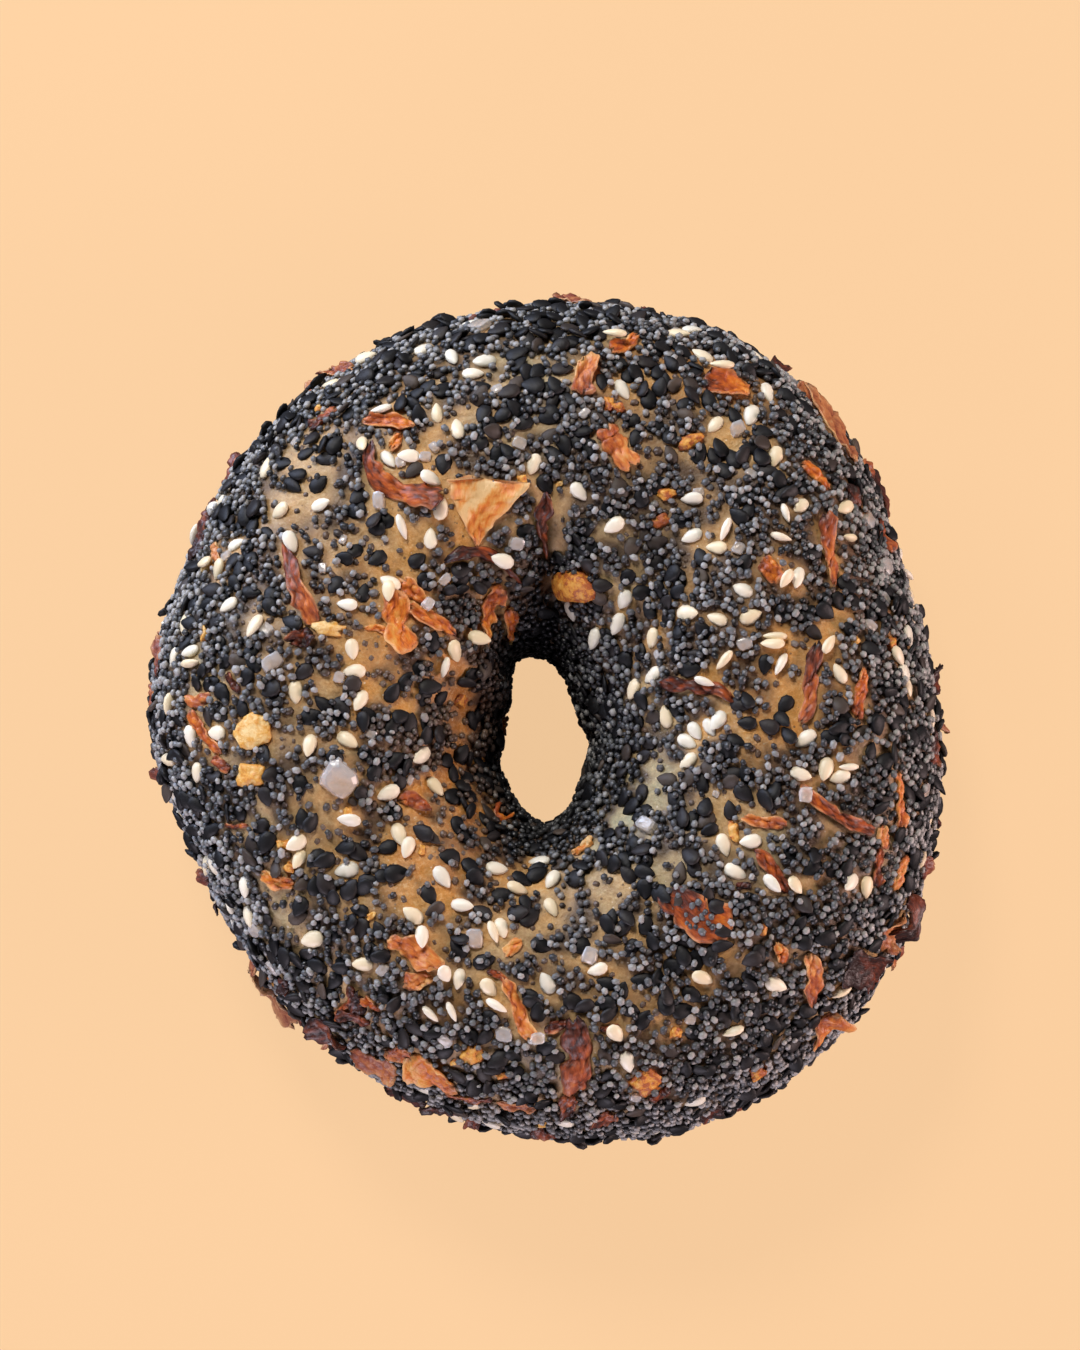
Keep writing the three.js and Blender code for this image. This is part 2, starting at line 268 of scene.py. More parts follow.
def smooth(t):
    """Rises from 0 to 1 as t does, level at both ends: k * k * (3 - 2 k), with k = t held to 0 to 1."""
    k = np.clip(t, 0.0, 1.0)
    return k * k * (3 - 2 * k)


def seam_depth(x, y):
    """How far the creases pull the crown down in plan: a bell across each line, faded along it."""
    deepest = 0.0
    for (x0, y0), (x1, y1), depth, width in SEAMS:
        run = math.hypot(x1 - x0, y1 - y0)
        along = ((x - x0) * (x1 - x0) + (y - y0) * (y1 - y0)) / run
        aside = ((x - x0) * (y1 - y0) - (y - y0) * (x1 - x0)) / run
        spread = width * (1 - SEAM_NARROWING * smooth(along / run))
        fade = (1 - smooth(along / run)) * smooth((along + SEAM_START) / SEAM_START)
        deepest = np.maximum(deepest, depth * fade * np.exp(-((aside / spread) ** 2)))
    return deepest


def ring_surface(turn, tube):
    """The dough at an angle round the ring and one round the rope, 0 outwards and a quarter up.

    The rope's section is a superellipse, fuller below, set between the hole's edge and the outline.
    """
    c, s = np.cos(tube), np.sin(tube)
    power = np.where(s >= 0, 2 / CROWN_FULLNESS, 2 / SAG_FULLNESS)
    across = np.sign(c) * np.abs(c) ** power
    rise = np.sign(s) * np.abs(s) ** power
    part = (across + 1) / 2
    reach = around(HOLE, turn) * (1 - part) + around(OUTLINE, turn) * part
    x = HOLE_CENTRE[0] * (1 - part) + reach * np.cos(turn)
    y = HOLE_CENTRE[1] * (1 - part) + reach * np.sin(turn)
    lump = sum(r * np.sin(m * turn + n * tube + phase) for r, m, n, phase in LUMPS)
    z = WAIST_HEIGHT + rise * np.where(s >= 0, CREST_RISE, SAG_DEPTH)
    z = z + np.maximum(rise, 0) * (lump - seam_depth(x, y))
    return np.stack([x, y, np.maximum(z, BASE_HEIGHT)], axis=-1)


def swell(points, wavelength, seed):
    """Smooth noise, about -1 to 1: plane sine waves of one wavelength, in directions from a seed."""
    from_seed = np.random.default_rng(seed)
    ways = from_seed.normal(size=(WAVES, 3))
    ways *= TURN / wavelength / np.linalg.norm(ways, axis=1, keepdims=True)
    shifts = from_seed.uniform(0, TURN, WAVES)
    return np.sin(points @ ways.T + shifts).sum(axis=-1) / math.sqrt(WAVES / 2) / SWELL_PEAK


def normals_of(grid):
    """Unit normals of a grid closed both ways, from the cross product of its central differences."""
    round_ring = np.roll(grid, -1, axis=0) - np.roll(grid, 1, axis=0)
    round_rope = np.roll(grid, -1, axis=1) - np.roll(grid, 1, axis=1)
    out = np.cross(round_ring, round_rope)
    return out / np.maximum(np.linalg.norm(out, axis=-1, keepdims=True), 1e-9)


def closed_faces(rows, columns):
    """The four-cornered faces of a grid that closes both ways."""
    i, j = np.meshgrid(np.arange(rows), np.arange(columns), indexing="ij")
    down, right = (i + 1) % rows, (j + 1) % columns
    corners = [i * columns + j, down * columns + j, down * columns + right, i * columns + right]
    return np.stack(corners, axis=-1).reshape(-1, 4)


# Rows are spaced evenly over the rope's skin: the angle is read off the section's arc length.
fine = np.linspace(0, TURN, SECTION_STEPS + 1)
section = ring_surface(np.zeros_like(fine), fine)
length = np.concatenate([[0], np.cumsum(np.linalg.norm(np.diff(section, axis=0), axis=1))])
even = np.linspace(0, length[-1], CRUST_STEPS[1], endpoint=False)
tubes = np.interp(even, length, fine)
turns = np.arange(CRUST_STEPS[0]) / CRUST_STEPS[0] * TURN
crust_grid = ring_surface(turns[:, None], tubes[None, :])
relief = sum(h * swell(crust_grid, wavelength, k) for k, (wavelength, h) in enumerate(BLISTERS))
crust_grid = crust_grid + normals_of(crust_grid) * relief[..., None]
crust_grid[..., 2] = np.maximum(crust_grid[..., 2], BASE_HEIGHT)
crust_normals = normals_of(crust_grid)

# Where the crown shows bare crust, as seen from the camera: x, y, half width, half length, how bare,
# and how toasted, from 0, pale olive, through tan and golden to 1, orange brown.
PATCHES = [
    (-33.5, 31.5, 6.5, 5.5, 1.0, 0.40),
    (-15.0, 37.0, 3.5, 3.5, 0.8, 0.60),
    (-20.5, 26.0, 6.0, 3.0, 0.9, 0.50),
    (-23.0, 21.0, 5.5, 2.5, 0.9, 0.70),
    (-12.3, 26.0, 2.0, 3.0, 0.8, 0.80),
    (-25.0, 8.0, 3.0, 5.0, 0.8, 0.70),
    (-33.5, 3.5, 5.5, 4.0, 0.8, 0.45),
    (-21.5, 2.0, 2.5, 4.0, 0.7, 0.85),
    (-14.5, 50.0, 1.8, 4.0, 0.7, 0.35),
    (-9.9, 42.8, 2.0, 2.0, 0.8, 0.45),
    (-0.7, 40.0, 3.0, 2.5, 0.5, 0.20),
    (16.5, 35.8, 6.0, 1.8, 0.8, 0.40),
    (26.0, 38.8, 3.0, 2.0, 0.7, 0.60),
    (22.3, 32.0, 2.0, 3.0, 0.7, 0.55),
    (21.8, 22.5, 2.0, 3.5, 0.7, 0.55),
    (12.0, 25.0, 2.0, 4.0, 0.5, 0.20),
    (20.0, 49.0, 5.0, 2.0, 0.6, 0.90),
    (30.5, 46.5, 2.5, 2.0, 0.6, 0.90),
    (37.0, 11.5, 3.5, 5.0, 0.9, 0.75),
    (36.0, 3.5, 5.5, 4.5, 0.9, 0.85),
    (30.5, -2.5, 4.0, 4.5, 0.7, 0.75),
    (-36.0, -2.0, 3.0, 3.5, 0.7, 0.35),
    (-39.2, -13.0, 2.8, 3.0, 1.0, 0.15),
    (-31.5, -12.5, 4.0, 5.5, 1.0, 0.45),
    (-25.0, -17.5, 2.5, 3.5, 0.9, 0.60),
    (-15.0, -13.0, 3.5, 6.5, 1.0, 1.00),
    (-19.0, -23.0, 4.8, 4.5, 1.1, 0.95),
    (-10.5, -21.5, 3.2, 3.2, 1.0, 0.95),
    (-36.5, -26.5, 4.0, 4.0, 0.9, 0.10),
    (-27.0, -27.0, 5.0, 3.0, 0.7, 0.35),
    (-4.0, -24.0, 2.5, 3.5, 0.8, 0.65),
    (-14.0, -29.0, 4.0, 2.5, 0.7, 0.50),
    (0.5, -29.5, 3.5, 4.0, 0.9, 0.35),
    (8.0, -24.5, 4.0, 2.5, 0.9, 0.30),
    # These two, beside the hole on its right, are pale olive partly as painted cool light.
    (15.0, -9.5, 3.8, 4.5, 1.3, 0.00),
    (10.0, -14.5, 3.0, 2.5, 1.3, 0.00),
    (17.5, -20.5, 2.5, 2.5, 0.9, 0.10),
    (25.5, -12.0, 3.0, 4.0, 0.7, 0.40),
    (8.5, -31.0, 3.5, 2.5, 0.6, 0.45),
    (10.5, -35.0, 5.0, 2.5, 0.8, 0.55),
    (26.5, -32.0, 3.5, 3.0, 0.7, 0.60),
    (14.5, -41.0, 5.0, 2.5, 0.6, 0.50),
    (-35.4, -33.2, 3.0, 2.0, 0.7, 0.15),
    (46.0, 25.0, 3.0, 6.0, 0.4, 0.95),
    # These three, beside the hole on its left, are orange brown partly as painted warm light.
    (-11.0, -3.0, 3.0, 8.0, 2.0, 1.10),
    (-13.5, 5.0, 2.5, 5.0, 1.6, 1.00),
    (-9.5, -14.0, 3.0, 4.0, 1.8, 1.10),
]
RAGGED = (1.8, 5.0, 11, 12)  # how far a patch's edge wanders, over what length, and its two seeds
BETWEEN = (0.15, 0.40)  # weight and toast of the crust between the patches
UNEVEN_TOAST = (0.25, 16.0, 13)  # how far that toast varies, over what length, and its seed
TOAST_SPREAD = 2.5  # how much wider than a patch its toast is, squared
OVEN = 0.74  # share of the toast that the oven gave
TOAST_ON_SIDES = 0.45


def seen(points):
    """Plan places as the camera sees them: each point slid along its sight line to waist height."""
    share = (WAIST_HEIGHT - eye.z) / (points[..., 2] - eye.z)
    return np.array(eye)[:2] + (points[..., :2] - np.array(eye)[:2]) * share[..., None]


def patchwork(points, normals):
    """How bare and how toasted the crust is at each point, from the patches that reach it.

    A patch is a bell exp(-r ** 3) in plan, with a ragged edge, where the crust faces up. Toast is the
    mean of the patches' own, weighted by their bells, and a slow noise of its own between them.
    """
    wander, wavelength, *seeds = RAGGED
    ragged = np.stack([swell(points, wavelength, seed) for seed in seeds], axis=-1)
    places = seen(points) + wander * ragged
    weight, toast = BETWEEN
    unevenness, wavelength, seed = UNEVEN_TOAST
    toast = weight * (toast + unevenness * swell(points, wavelength, seed))
    bare = 0.0
    for x, y, across, along, bareness, browning in PATCHES:
        off = ((places[..., 0] - x) / across) ** 2 + ((places[..., 1] - y) / along) ** 2
        bare = np.maximum(bare, bareness * np.exp(-(off**1.5)))
        wide = np.exp(-off / TOAST_SPREAD)
        weight = weight + wide
        toast = toast + browning * wide
    return bare * smooth(normals[..., 2] * 2 + 0.6), toast / weight


bare, toast = patchwork(crust_grid, crust_normals)
facing_up = smooth(1.6 * crust_normals[..., 2])
toast = OVEN * toast * (TOAST_ON_SIDES + (1 - TOAST_ON_SIDES) * facing_up)

# Baked wheat crust: satin, with a fine mottle of pale starch grains over the brown. Oil and dust from
# the seeds leave a grey haze round each. Where they lie thick, and along the deep crease, the crust is
# painted dark brown: partly dust, and partly painted shade between the seeds and in the crease.
crust_finish, tree = finish_of("boiled_and_baked_crust")
place = add(tree, "TexCoord").outputs["Object"]
toasted = add(tree, "Attribute", attribute_name="toast").outputs["Fac"]
dust_and_shade = add(tree, "Attribute", attribute_name="seed_dust_and_shade").outputs["Fac"]
mottle = add(tree, "TexNoise", {"Vector": place, "Scale": METRE / 3.4, "Detail": 4.0, "Roughness": 0.65})
grains = add(tree, "TexNoise", {"Vector": place, "Scale": METRE / 0.55, "Detail": 3.0, "Roughness": 0.75})
browned = add(tree, "Math", {0: mottle, 1: 0.50, 2: toasted}, operation="MULTIPLY_ADD")
brown = add(
    tree, "ValToRGB", {"Fac": browned},
    [(0.20, "9E9C7A"), (0.50, "C09D6A"), (0.72, "CE9750"), (0.90, "CC8A3C"), (1.00, "B47432")],
)
starch = add(tree, "MapRange", {"Value": grains, "From Min": 0.50, "From Max": 0.72, "To Max": 0.60})
pored = add(tree, "MapRange", {"Value": grains, "From Min": 0.48, "From Max": 0.30, "To Max": 0.45})
FACTOR, FIRST, SECOND = 0, 6, 7  # the sockets that a Mix node uses for colours
speckled = add(tree, "Mix", {FACTOR: starch, FIRST: brown, SECOND: "E0C692"}, data_type="RGBA")
dotted = add(tree, "Mix", {FACTOR: pored, FIRST: speckled, SECOND: "8A6232"}, data_type="RGBA")
# Flecks of broken seed and salt: a dot in each cell of a pattern, larger where the mottle is high.
flecks = add(tree, "TexVoronoi", {"Vector": place, "Scale": METRE / 0.9})
fleck_size = add(
    tree, "MapRange",
    {"Value": mottle, "From Min": 0.42, "From Max": 0.62, "To Min": 0.06, "To Max": 0.26},
)
within = add(tree, "Math", {0: fleck_size, 1: flecks}, operation="SUBTRACT")
fleck = add(tree, "MapRange", {"Value": within, "From Min": 0.0, "From Max": 0.05, "To Max": 0.75})
fleck_tone = add(
    tree, "ValToRGB", {"Fac": flecks.outputs["Color"]},
    [(0.30, "4C3A2A"), (0.48, "7A5E40"), (0.55, "D8C296"), (0.75, "F2E8D0")],
)
flecked = add(tree, "Mix", {FACTOR: fleck, FIRST: dotted, SECOND: fleck_tone}, data_type="RGBA")
# The grey haze of dust, then the dark browns of painted shade between crowded seeds and in the crease.
dust_and_shade_colour = add(
    tree, "ValToRGB", {"Fac": dust_and_shade},
    [(0.10, "AC9A7E"), (0.45, "806850"), (0.75, "5A4838"), (1.0, "443834")],
)
seeded = add(tree, "MapRange", {"Value": dust_and_shade, "From Min": 0.04, "From Max": 0.8, "To Max": 0.88})
shaded = add(tree, "Mix", {FACTOR: seeded, FIRST: flecked, SECOND: dust_and_shade_colour}, data_type="RGBA")
blistered = add(tree, "Bump", {"Height": mottle, "Strength": 0.6, "Distance": 0.6 / METRE})
grainy = add(
    tree, "Bump",
    {"Height": grains, "Strength": 0.7, "Distance": 0.20 / METRE, "Normal": blistered},
)
satin = add(
    tree, "MapRange",
    {"Value": mottle, "From Min": 0.3, "From Max": 0.7, "To Min": 0.36, "To Max": 0.56},
)
shader = add(
    tree, "BsdfPrincipled",
    {"Base Color": shaded, "Roughness": satin, "Normal": grainy, "Specular IOR Level": 0.35},
)
add(tree, "OutputMaterial", {"Surface": shader})


def dress(piece):
    """Makes a piece ride on the ring, and hides the solid that it stands for."""
    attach(piece, "root")
    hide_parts("bagel")


crust_faces = closed_faces(*CRUST_STEPS)
crust = put("crust", crust_grid.reshape(-1, 3), [crust_faces], crust_finish, {"toast": toast})
dress(crust)

# ---- Dried onion --------------------------------------------------------------------------------
# Shreds of sliced onion, dried and then browned in the oven: thin, fibrous along their length, torn
# at the ends and curled. They are amber where thin, and red brown to black where they have charred.

ONION = [  # x, y as seen from the camera, heading, length, width, sweep, taper, browning
    (-9.0, 29.0, -95, 9.0, 11.0, 0, 0.95, 0.05),
    (-20.5, 33.6, -38, 14.5, 4.0, 105, -0.65, 0.60),
    (-34.4, 18.5, -68, 13.0, 3.0, -15, -0.6, 0.58),
    (-20.4, 13.2, -70, 8.0, 4.0, 10, -0.4, 0.30),
    (-23.4, 12.4, 172, 3.2, 1.0, 10, 0.5, 0.34),
    (-15.4, 13.6, -25, 7.0, 2.1, 0, 0.4, 0.38),
    (-18.0, 17.6, -50, 4.4, 2.2, 10, 0.5, 0.32),
    (-21.6, 41.6, -8, 7.0, 1.9, 10, 0.0, 0.40),
    (-30.9, 42.0, 55, 4.5, 2.0, 20, 0.3, 0.70),
    (-31.0, 46.8, 30, 5.5, 2.8, 0, 0.0, 0.22),
    (-8.2, 22.6, -25, 12.0, 1.6, -45, 0.1, 0.80),
    (-0.4, 27.0, -60, 9.0, 1.9, 10, 0.2, 0.80),
    (-33.8, 11.0, 20, 3.0, 2.4, 0, 0.0, 0.90),
    (-43.4, 4.7, -55, 3.2, 1.2, 0, 0.2, 0.75),
    (-48.2, 2.5, 0, 4.0, 1.5, 30, 0.2, 0.35),
    (-8.2, 15.2, -80, 9.0, 2.6, -30, 0.2, 0.34),
    (-5.0, 13.6, -70, 6.0, 1.8, -40, 0.2, 0.42),
    (-2.9, 58.7, 5, 4.5, 1.0, -10, 0.2, 0.80),
    (-20.8, 38.9, 60, 2.2, 1.6, 0, 0.2, 0.35),
    (-45.7, 23.0, -75, 3.2, 1.2, 0, 0.2, 0.15),
    (5.6, 48.2, 85, 5.6, 3.4, 0, 0.0, 0.35),
    (11.3, 52.5, 50, 5.0, 2.2, 0, 0.2, 0.38),
    (25.7, 46.5, -5, 6.2, 3.2, -20, 0.1, 0.45),
    (10.5, 37.9, -55, 6.2, 3.6, 30, 0.1, 0.35),
    (39.8, 40.4, -60, 13.0, 3.6, -20, 0.4, 0.36),
    (38.3, 34.0, -25, 5.0, 1.8, -20, 0.3, 0.40),
    (46.9, 31.3, -72, 8.0, 2.0, 10, 0.3, 0.80),
    (49.8, 23.6, -60, 4.5, 1.8, 0, 0.3, 0.45),
    (43.0, 31.2, -40, 3.0, 2.0, 0, 0.1, 0.85),
    (47.3, 25.3, 60, 5.0, 1.5, 0, 0.2, 0.60),
    (31.7, 20.8, -60, 3.6, 2.0, 0, 0.2, 0.50),
    (39.9, 23.5, -75, 10.0, 1.7, 15, 0.2, 0.50),
    (37.4, 4.5, 80, 11.0, 2.0, 15, 0.3, 0.60),
    (44.2, 3.3, 70, 6.5, 2.0, 0, 0.4, 0.42),
    (21.6, 4.3, -15, 10.0, 1.7, 0, 0.2, 0.72),
    (52.0, 17.9, -70, 3.0, 1.5, 0, 0.2, 0.40),
    (-47.3, -2.3, -60, 7.5, 1.6, 10, 0.2, 0.45),
    (-44.9, -6.4, -20, 3.0, 1.6, 0, 0.2, 0.65),
    (-52.4, -9.0, -70, 5.0, 1.6, 0, 0.3, 0.60),
    (-17.9, -12.2, -10, 4.5, 2.2, -50, 0.4, 0.50),
    (-6.2, -13.8, 0, 5.0, 0.6, 200, 0.0, 0.50),
    (-42.8, -15.1, 5, 4.0, 0.8, 0, 0.3, 0.55),
    (-37.0, -22.7, -15, 5.0, 1.8, 40, 0.2, 0.30),
    (-17.9, -33.0, -30, 7.6, 2.8, -20, 0.0, 0.26),
    (-17.3, -36.6, 10, 3.6, 2.8, 0, 0.5, 0.28),
    (-23.7, -39.8, -50, 2.6, 1.4, 0, 0.7, 0.40),
    (-3.7, -40.4, -70, 8.5, 2.6, -10, -0.5, 0.30),
    (-6.2, -35.9, -30, 3.0, 0.8, 0, 0.2, 0.60),
    (-27.5, -40.5, 40, 5.0, 0.8, -80, 0.2, 0.60),
    (-29.0, -43.2, -10, 6.5, 2.6, 10, 0.2, 0.78),
    (-23.2, -47.6, -40, 6.8, 4.8, 0, 0.1, 0.44),
    (-37.4, -38.8, -38, 10.0, 3.2, 0, 0.1, 0.36),
    (-15.4, -49.1, -60, 7.0, 4.0, 30, 0.1, 0.24),
    (-3.7, -53.4, -35, 5.5, 1.3, 20, 0.2, 0.42),
    (-10.3, -52.5, -10, 6.5, 0.9, 10, 0.1, 0.65),
    (-4.3, -32.0, 50, 2.8, 1.7, 0, 0.2, 0.20),
    (-6.8, -1.0, 80, 4.0, 1.6, 0, 0.2, 0.20),
    (40.9, -13.4, -30, 12.5, 1.6, 55, 0.1, 0.60),
    (31.9, -21.5, -52, 7.0, 1.7, 0, 0.3, 0.65),
    (30.8, -14.6, -12, 5.5, 1.5, -10, 0.2, 0.35),
    (21.4, -27.4, -35, 9.5, 5.2, 10, 0.2, 0.60),
    (49.4, -21.7, 45, 4.8, 1.9, 0, 0.3, 0.28),
    (47.3, -16.7, -70, 3.0, 1.6, 0, 0.2, 0.30),
    (49.0, -28.0, -80, 7.0, 2.6, -60, 0.0, 0.85),
    (47.7, -29.5, 20, 5.4, 2.8, 0, 0.3, 0.30),
    (49.4, -32.8, 60, 4.2, 3.0, 0, 0.1, 0.52),
    (43.8, -35.3, -25, 8.0, 5.0, 0, 0.1, 0.92),
    (37.2, -36.3, -70, 8.0, 2.4, 0, 0.2, 0.36),
    (32.9, -32.8, -65, 3.0, 1.6, 0, 0.2, 0.40),
    (38.4, -42.6, -65, 5.8, 3.2, 0, 0.2, 0.38),
    (4.7, -46.8, 95, 10.5, 3.4, 0, 0.0, 0.68),
    (2.0, -42.7, 10, 3.0, 2.0, 0, 0.4, 0.70),
    (8.2, -55.3, 40, 4.0, 2.0, 0, 0.3, 0.72),
    (9.2, -43.1, 10, 2.6, 0.7, 0, 0.2, 0.70),
    (16.2, -52.1, 20, 3.0, 1.5, 0, 0.2, 0.80),
    (54.0, -4.4, 75, 5.0, 1.8, 0, 0.2, 0.80),
    (54.6, -13.6, 80, 4.0, 1.6, 0, 0.2, 0.85),
    (52.4, -20.8, 15, 3.2, 2.0, 0, 0.1, 0.65),
    (49.6, -11.5, 80, 7.5, 1.4, 0, 0.2, 0.30),
    (46.5, -21.0, 85, 5.0, 1.5, 0, 0.2, 0.60),
    (27.8, -23.6, 5, 2.0, 0.8, 0, 0.2, 0.80),
    (-26.2, -41.6, -10, 4.5, 1.4, -20, 0.2, 0.68),
    (-19.8, -46.5, -20, 3.5, 2.4, 0, 0.2, 0.42),
    (-35.4, -36.8, 60, 2.6, 2.0, 0, 0.1, 0.85),
    (-26.0, -39.2, 80, 3.4, 2.6, 0, 0.1, 0.88),
    (-18.6, -51.6, -35, 6.0, 2.6, 0, 0.1, 0.90),
    (3.5, -53.6, 85, 4.5, 2.6, 0, 0.1, 0.80),
    (22.8, -54.2, 10, 3.5, 1.8, 0, 0.1, 0.85),
    (5.7, -18.2, 60, 3.5, 1.6, 0, 0.2, 0.15),
    (18.7, -57.5, 0, 2.0, 1.3, 0, 0.1, 0.40),
]
ARCHES = {  # how far the middle of some shreds stands off the crust, by their place
    (49.0, -28.0): 1.6, (46.9, 31.3): 1.0, (40.9, -13.4): 0.8, (-34.4, 18.5): 1.2,
}
BURIED = [(21.4, -27.4)]  # shreds that lie flat, with small seed poking up through them
BURIED_SHARE = 0.45
BURIED_RISE = 0.35
SHREDS = 60  # more of them, small, on the outer sides
SHRED_TRIES = 3600
SHRED_LENGTH = (2.5, 7.0)
SHRED_WIDTH = (0.8, 2.4)
SHRED_SWEEP = 0.6  # spread of the angle that their midlines turn through, in radians
SHRED_TAPER = (-0.3, 0.6)
SHRED_BROWNING = (0.35, 0.9)
SHRED_SPACING = 5.0
STEEP = 0.35  # they lie where the crust's normal rises less than this
LOWEST = 4.0
OUTSIDE = 30.0  # distance from the middle past which the sides are outer ones

ONION_THICKNESS = 0.40
ONION_STEPS = (23, 11)  # along a shred and across it
WANDER = 0.22  # how far a shred's heading wanders, in radians
TEARS = (1.1, 0.45, 5.0)  # their spacing, depth as a share of half the width, and width they lessen past
HALF_WIDTH = 0.56  # reach of an untorn edge, as a share of the width
SLIM = 3.0  # width up to which a shred is drawn in at its ends, slanted and twisted in full
DRAWN_IN = 0.85  # how far its ends are drawn in: 1 is to a point
FRAY = (0.25, 2.5)  # its depth as a share of the width, and the width it grows up to
SLANT = 0.6  # steepest slant of an end
CURL = (0.3, 1.7)  # radians that each half of a shred is rolled through
UPWARD = 0.8  # share of the shreds that curl up at their edges
TWIST = 0.8  # spread of its twist from end to end, in radians
CREASES = (0.42, 0.22)  # depths of those that slant one way and the other
FIBRE = 0.9  # spacing of its coarse fibres
FIBRE_HEIGHT = 0.16
HELD = (0.25, 0.75)  # where along it a shred is stuck down
LIFT = (0.05, 0.45)  # how high its ends rise, as a share of its length
STAND = 0.9  # slope at which a shred on an upright side stands off it
STANDOFF = 2.0
BLOTCHES = (0.15, 0.12)  # strength of the slow and of the quick ones
PALE = (0.2, 1.5)  # browning under which the slow ones grow, and how fast
CHARRED_ENDS = 0.10
ONE_END = 0.35  # how much browner one end may be
PAINTED_FIBRE_HIGHLIGHT = 0.12
PAINTED_CREASE_SHADE = 0.25
RIM_FADE = (1.2, 1.6)  # strength of the pale rim, and what browning takes from it
OUTER = (38.0, 8.0)  # distance from the middle past which shreds are dull, and over what length
DULLNESS = 0.3  # most that a shred elsewhere is dull by chance

SEED = 20
CELL = 1.5  # edge of the cells that the bed is sorted into
AROUND_CELL = [(i, j, k) for i in (-1, 0, 1) for j in (-1, 0, 1) for k in (-1, 0, 1)]
TOUCH = 0.86  # how near two toppings lie, as a share of their radii: they are pressed together
CLEARANCE = 0.8  # nothing smaller is laid this close over the toppings that must show
ONION_BALL = 0.35
SHIELD = (0.35, 0.8)  # radii of the balls that keep small seed off a shred
HEADING_RISE = 0.31  # keeps a heading from being lost where the crust is upright

draw = np.random.default_rng(SEED)
bed = {}  # what has been laid so far, as small balls sorted by cell
clear = []  # balls over the larger toppings, which black sesame and poppy seed stay out of
skin = BVHTree.FromPolygons(crust_grid.reshape(-1, 3).tolist(), crust_faces.tolist())
corners = crust_grid.reshape(-1, 3)[crust_faces]
diagonals = corners[:, 2] - corners[:, 0], corners[:, 3] - corners[:, 1]
face_areas = np.linalg.norm(np.cross(*diagonals), axis=1) / 2


def unit(v):
    """Vectors scaled to length one, along the last axis."""
    return v / np.maximum(np.linalg.norm(v, axis=-1, keepdims=True), 1e-12)


def on_skin(rows, columns):
    """Places and normals on the crust at fractional rows and columns: the weighted mean of four."""
    i, j = np.floor(rows).astype(int), np.floor(columns).astype(int)
    f, g = (rows - i)[..., None], (columns - j)[..., None]
    i, j, down, right = (k % n for k, n in zip((i, j, i + 1, j + 1), CRUST_STEPS * 2))
    corners = [
        ((i, j), (1 - f) * (1 - g)),
        ((down, j), f * (1 - g)),
        ((down, right), f * g),
        ((i, right), (1 - f) * g),
    ]
    place = sum(weight * crust_grid[at] for at, weight in corners)
    return place, unit(sum(weight * crust_normals[at] for at, weight in corners))


def seen_at(x, y):
    """The row and column of the crust that the camera sees through (x, y) at waist height.

    Where the sight line just misses the ring, it is the nearest place on its side.
    """
    through = Vector((x, y, WAIST_HEIGHT))
    place, _, face, _ = skin.ray_cast(eye, (through - eye).normalized())
    if place is None:
        place, _, face, _ = skin.find_nearest(through)
    corner, down, _, right = (crust_grid.reshape(-1, 3)[k] for k in crust_faces[face])
    row, column = divmod(face, CRUST_STEPS[1])
    by_row, by_column, off = down - corner, right - corner, np.array(place) - corner
    return row + off @ by_row / (by_row @ by_row), column + off @ by_column / (by_column @ by_column)


def spots(count):
    """Random rows and columns, spread evenly by area over the crust."""
    area = np.cumsum(face_areas)
    row, column = divmod(np.searchsorted(area, draw.uniform(0, area[-1], count)), CRUST_STEPS[1])
    return row + draw.uniform(size=count), column + draw.uniform(size=count)


def frames(normals, headings):
    """For each normal, three axes as columns: along a heading, across it, and the normal itself."""
    rise = HEADING_RISE * np.ones_like(headings)
    along = np.stack([np.cos(headings), np.sin(headings), rise], axis=-1)
    along = unit(along - (along * normals).sum(-1, keepdims=True) * normals)
    return np.stack([along, np.cross(normals, along), normals], axis=-1)


def over_skin(row, column, along, aside, a, b):
    """Places and normals of the crust a along and b aside of a foot, as if it were laid out flat.

    The grid's own steps at the foot, measured along and aside, make a matrix, and its inverse turns
    millimetres into rows and columns.
    """
    corner = on_skin(row, column)[0]
    by_row = on_skin(row + 1, column)[0] - corner
    by_column = on_skin(row, column + 1)[0] - corner
    steps = np.linalg.inv([[by_row @ along, by_column @ along], [by_row @ aside, by_column @ aside]])
    return on_skin(row + steps[0, 0] * a + steps[0, 1] * b, column + steps[1, 0] * a + steps[1, 1] * b)


def lay(balls):
    """Puts balls, rows of x, y, z and radius, into the bed."""
    for x, y, z, r in np.asarray(balls).tolist():
        cell = (int(x // CELL), int(y // CELL), int(z // CELL))
        bed.setdefault(cell, []).append((x, y, z, r))


def rise_over(place, normal, radius):
    """How high over a place a ball must sit to clear the bed: the highest of its touching heights.

    A ball in the bed that is u above the place and a aside from its normal is touched at a height of
    u + sqrt(reach ** 2 - a ** 2), where reach is TOUCH times the sum of the two radii.
    """
    x, y, z = place
    nx, ny, nz = normal
    i0 = int((x + nx * CELL / 2) // CELL)
    j0 = int((y + ny * CELL / 2) // CELL)
    k0 = int((z + nz * CELL / 2) // CELL)
    highest = -math.inf
    for i, j, k in AROUND_CELL:
        for bx, by, bz, br in bed.get((i0 + i, j0 + j, k0 + k), ()):
            dx, dy, dz = bx - x, by - y, bz - z
            up = dx * nx + dy * ny + dz * nz
            aside = dx * dx + dy * dy + dz * dz - up * up
            reach = TOUCH * (radius + br)
            if aside < reach * reach:
                highest = max(highest, up + math.sqrt(reach * reach - aside))
    return highest


def off_the_table(points):
    """Bodies, one a row, each lifted until none of it is below the table."""
    return points + np.array([0, 0, 1]) * np.maximum(0, -points[..., 2].min(axis=1))[:, None, None]


def zigzag(t, corners):
    """A torn edge along t from 0 to 1, between -1 and 1: straight runs between random heights."""
    corners = max(3, round(corners))
    return np.interp(t, np.linspace(0, 1, corners), draw.uniform(-1, 1, corners))


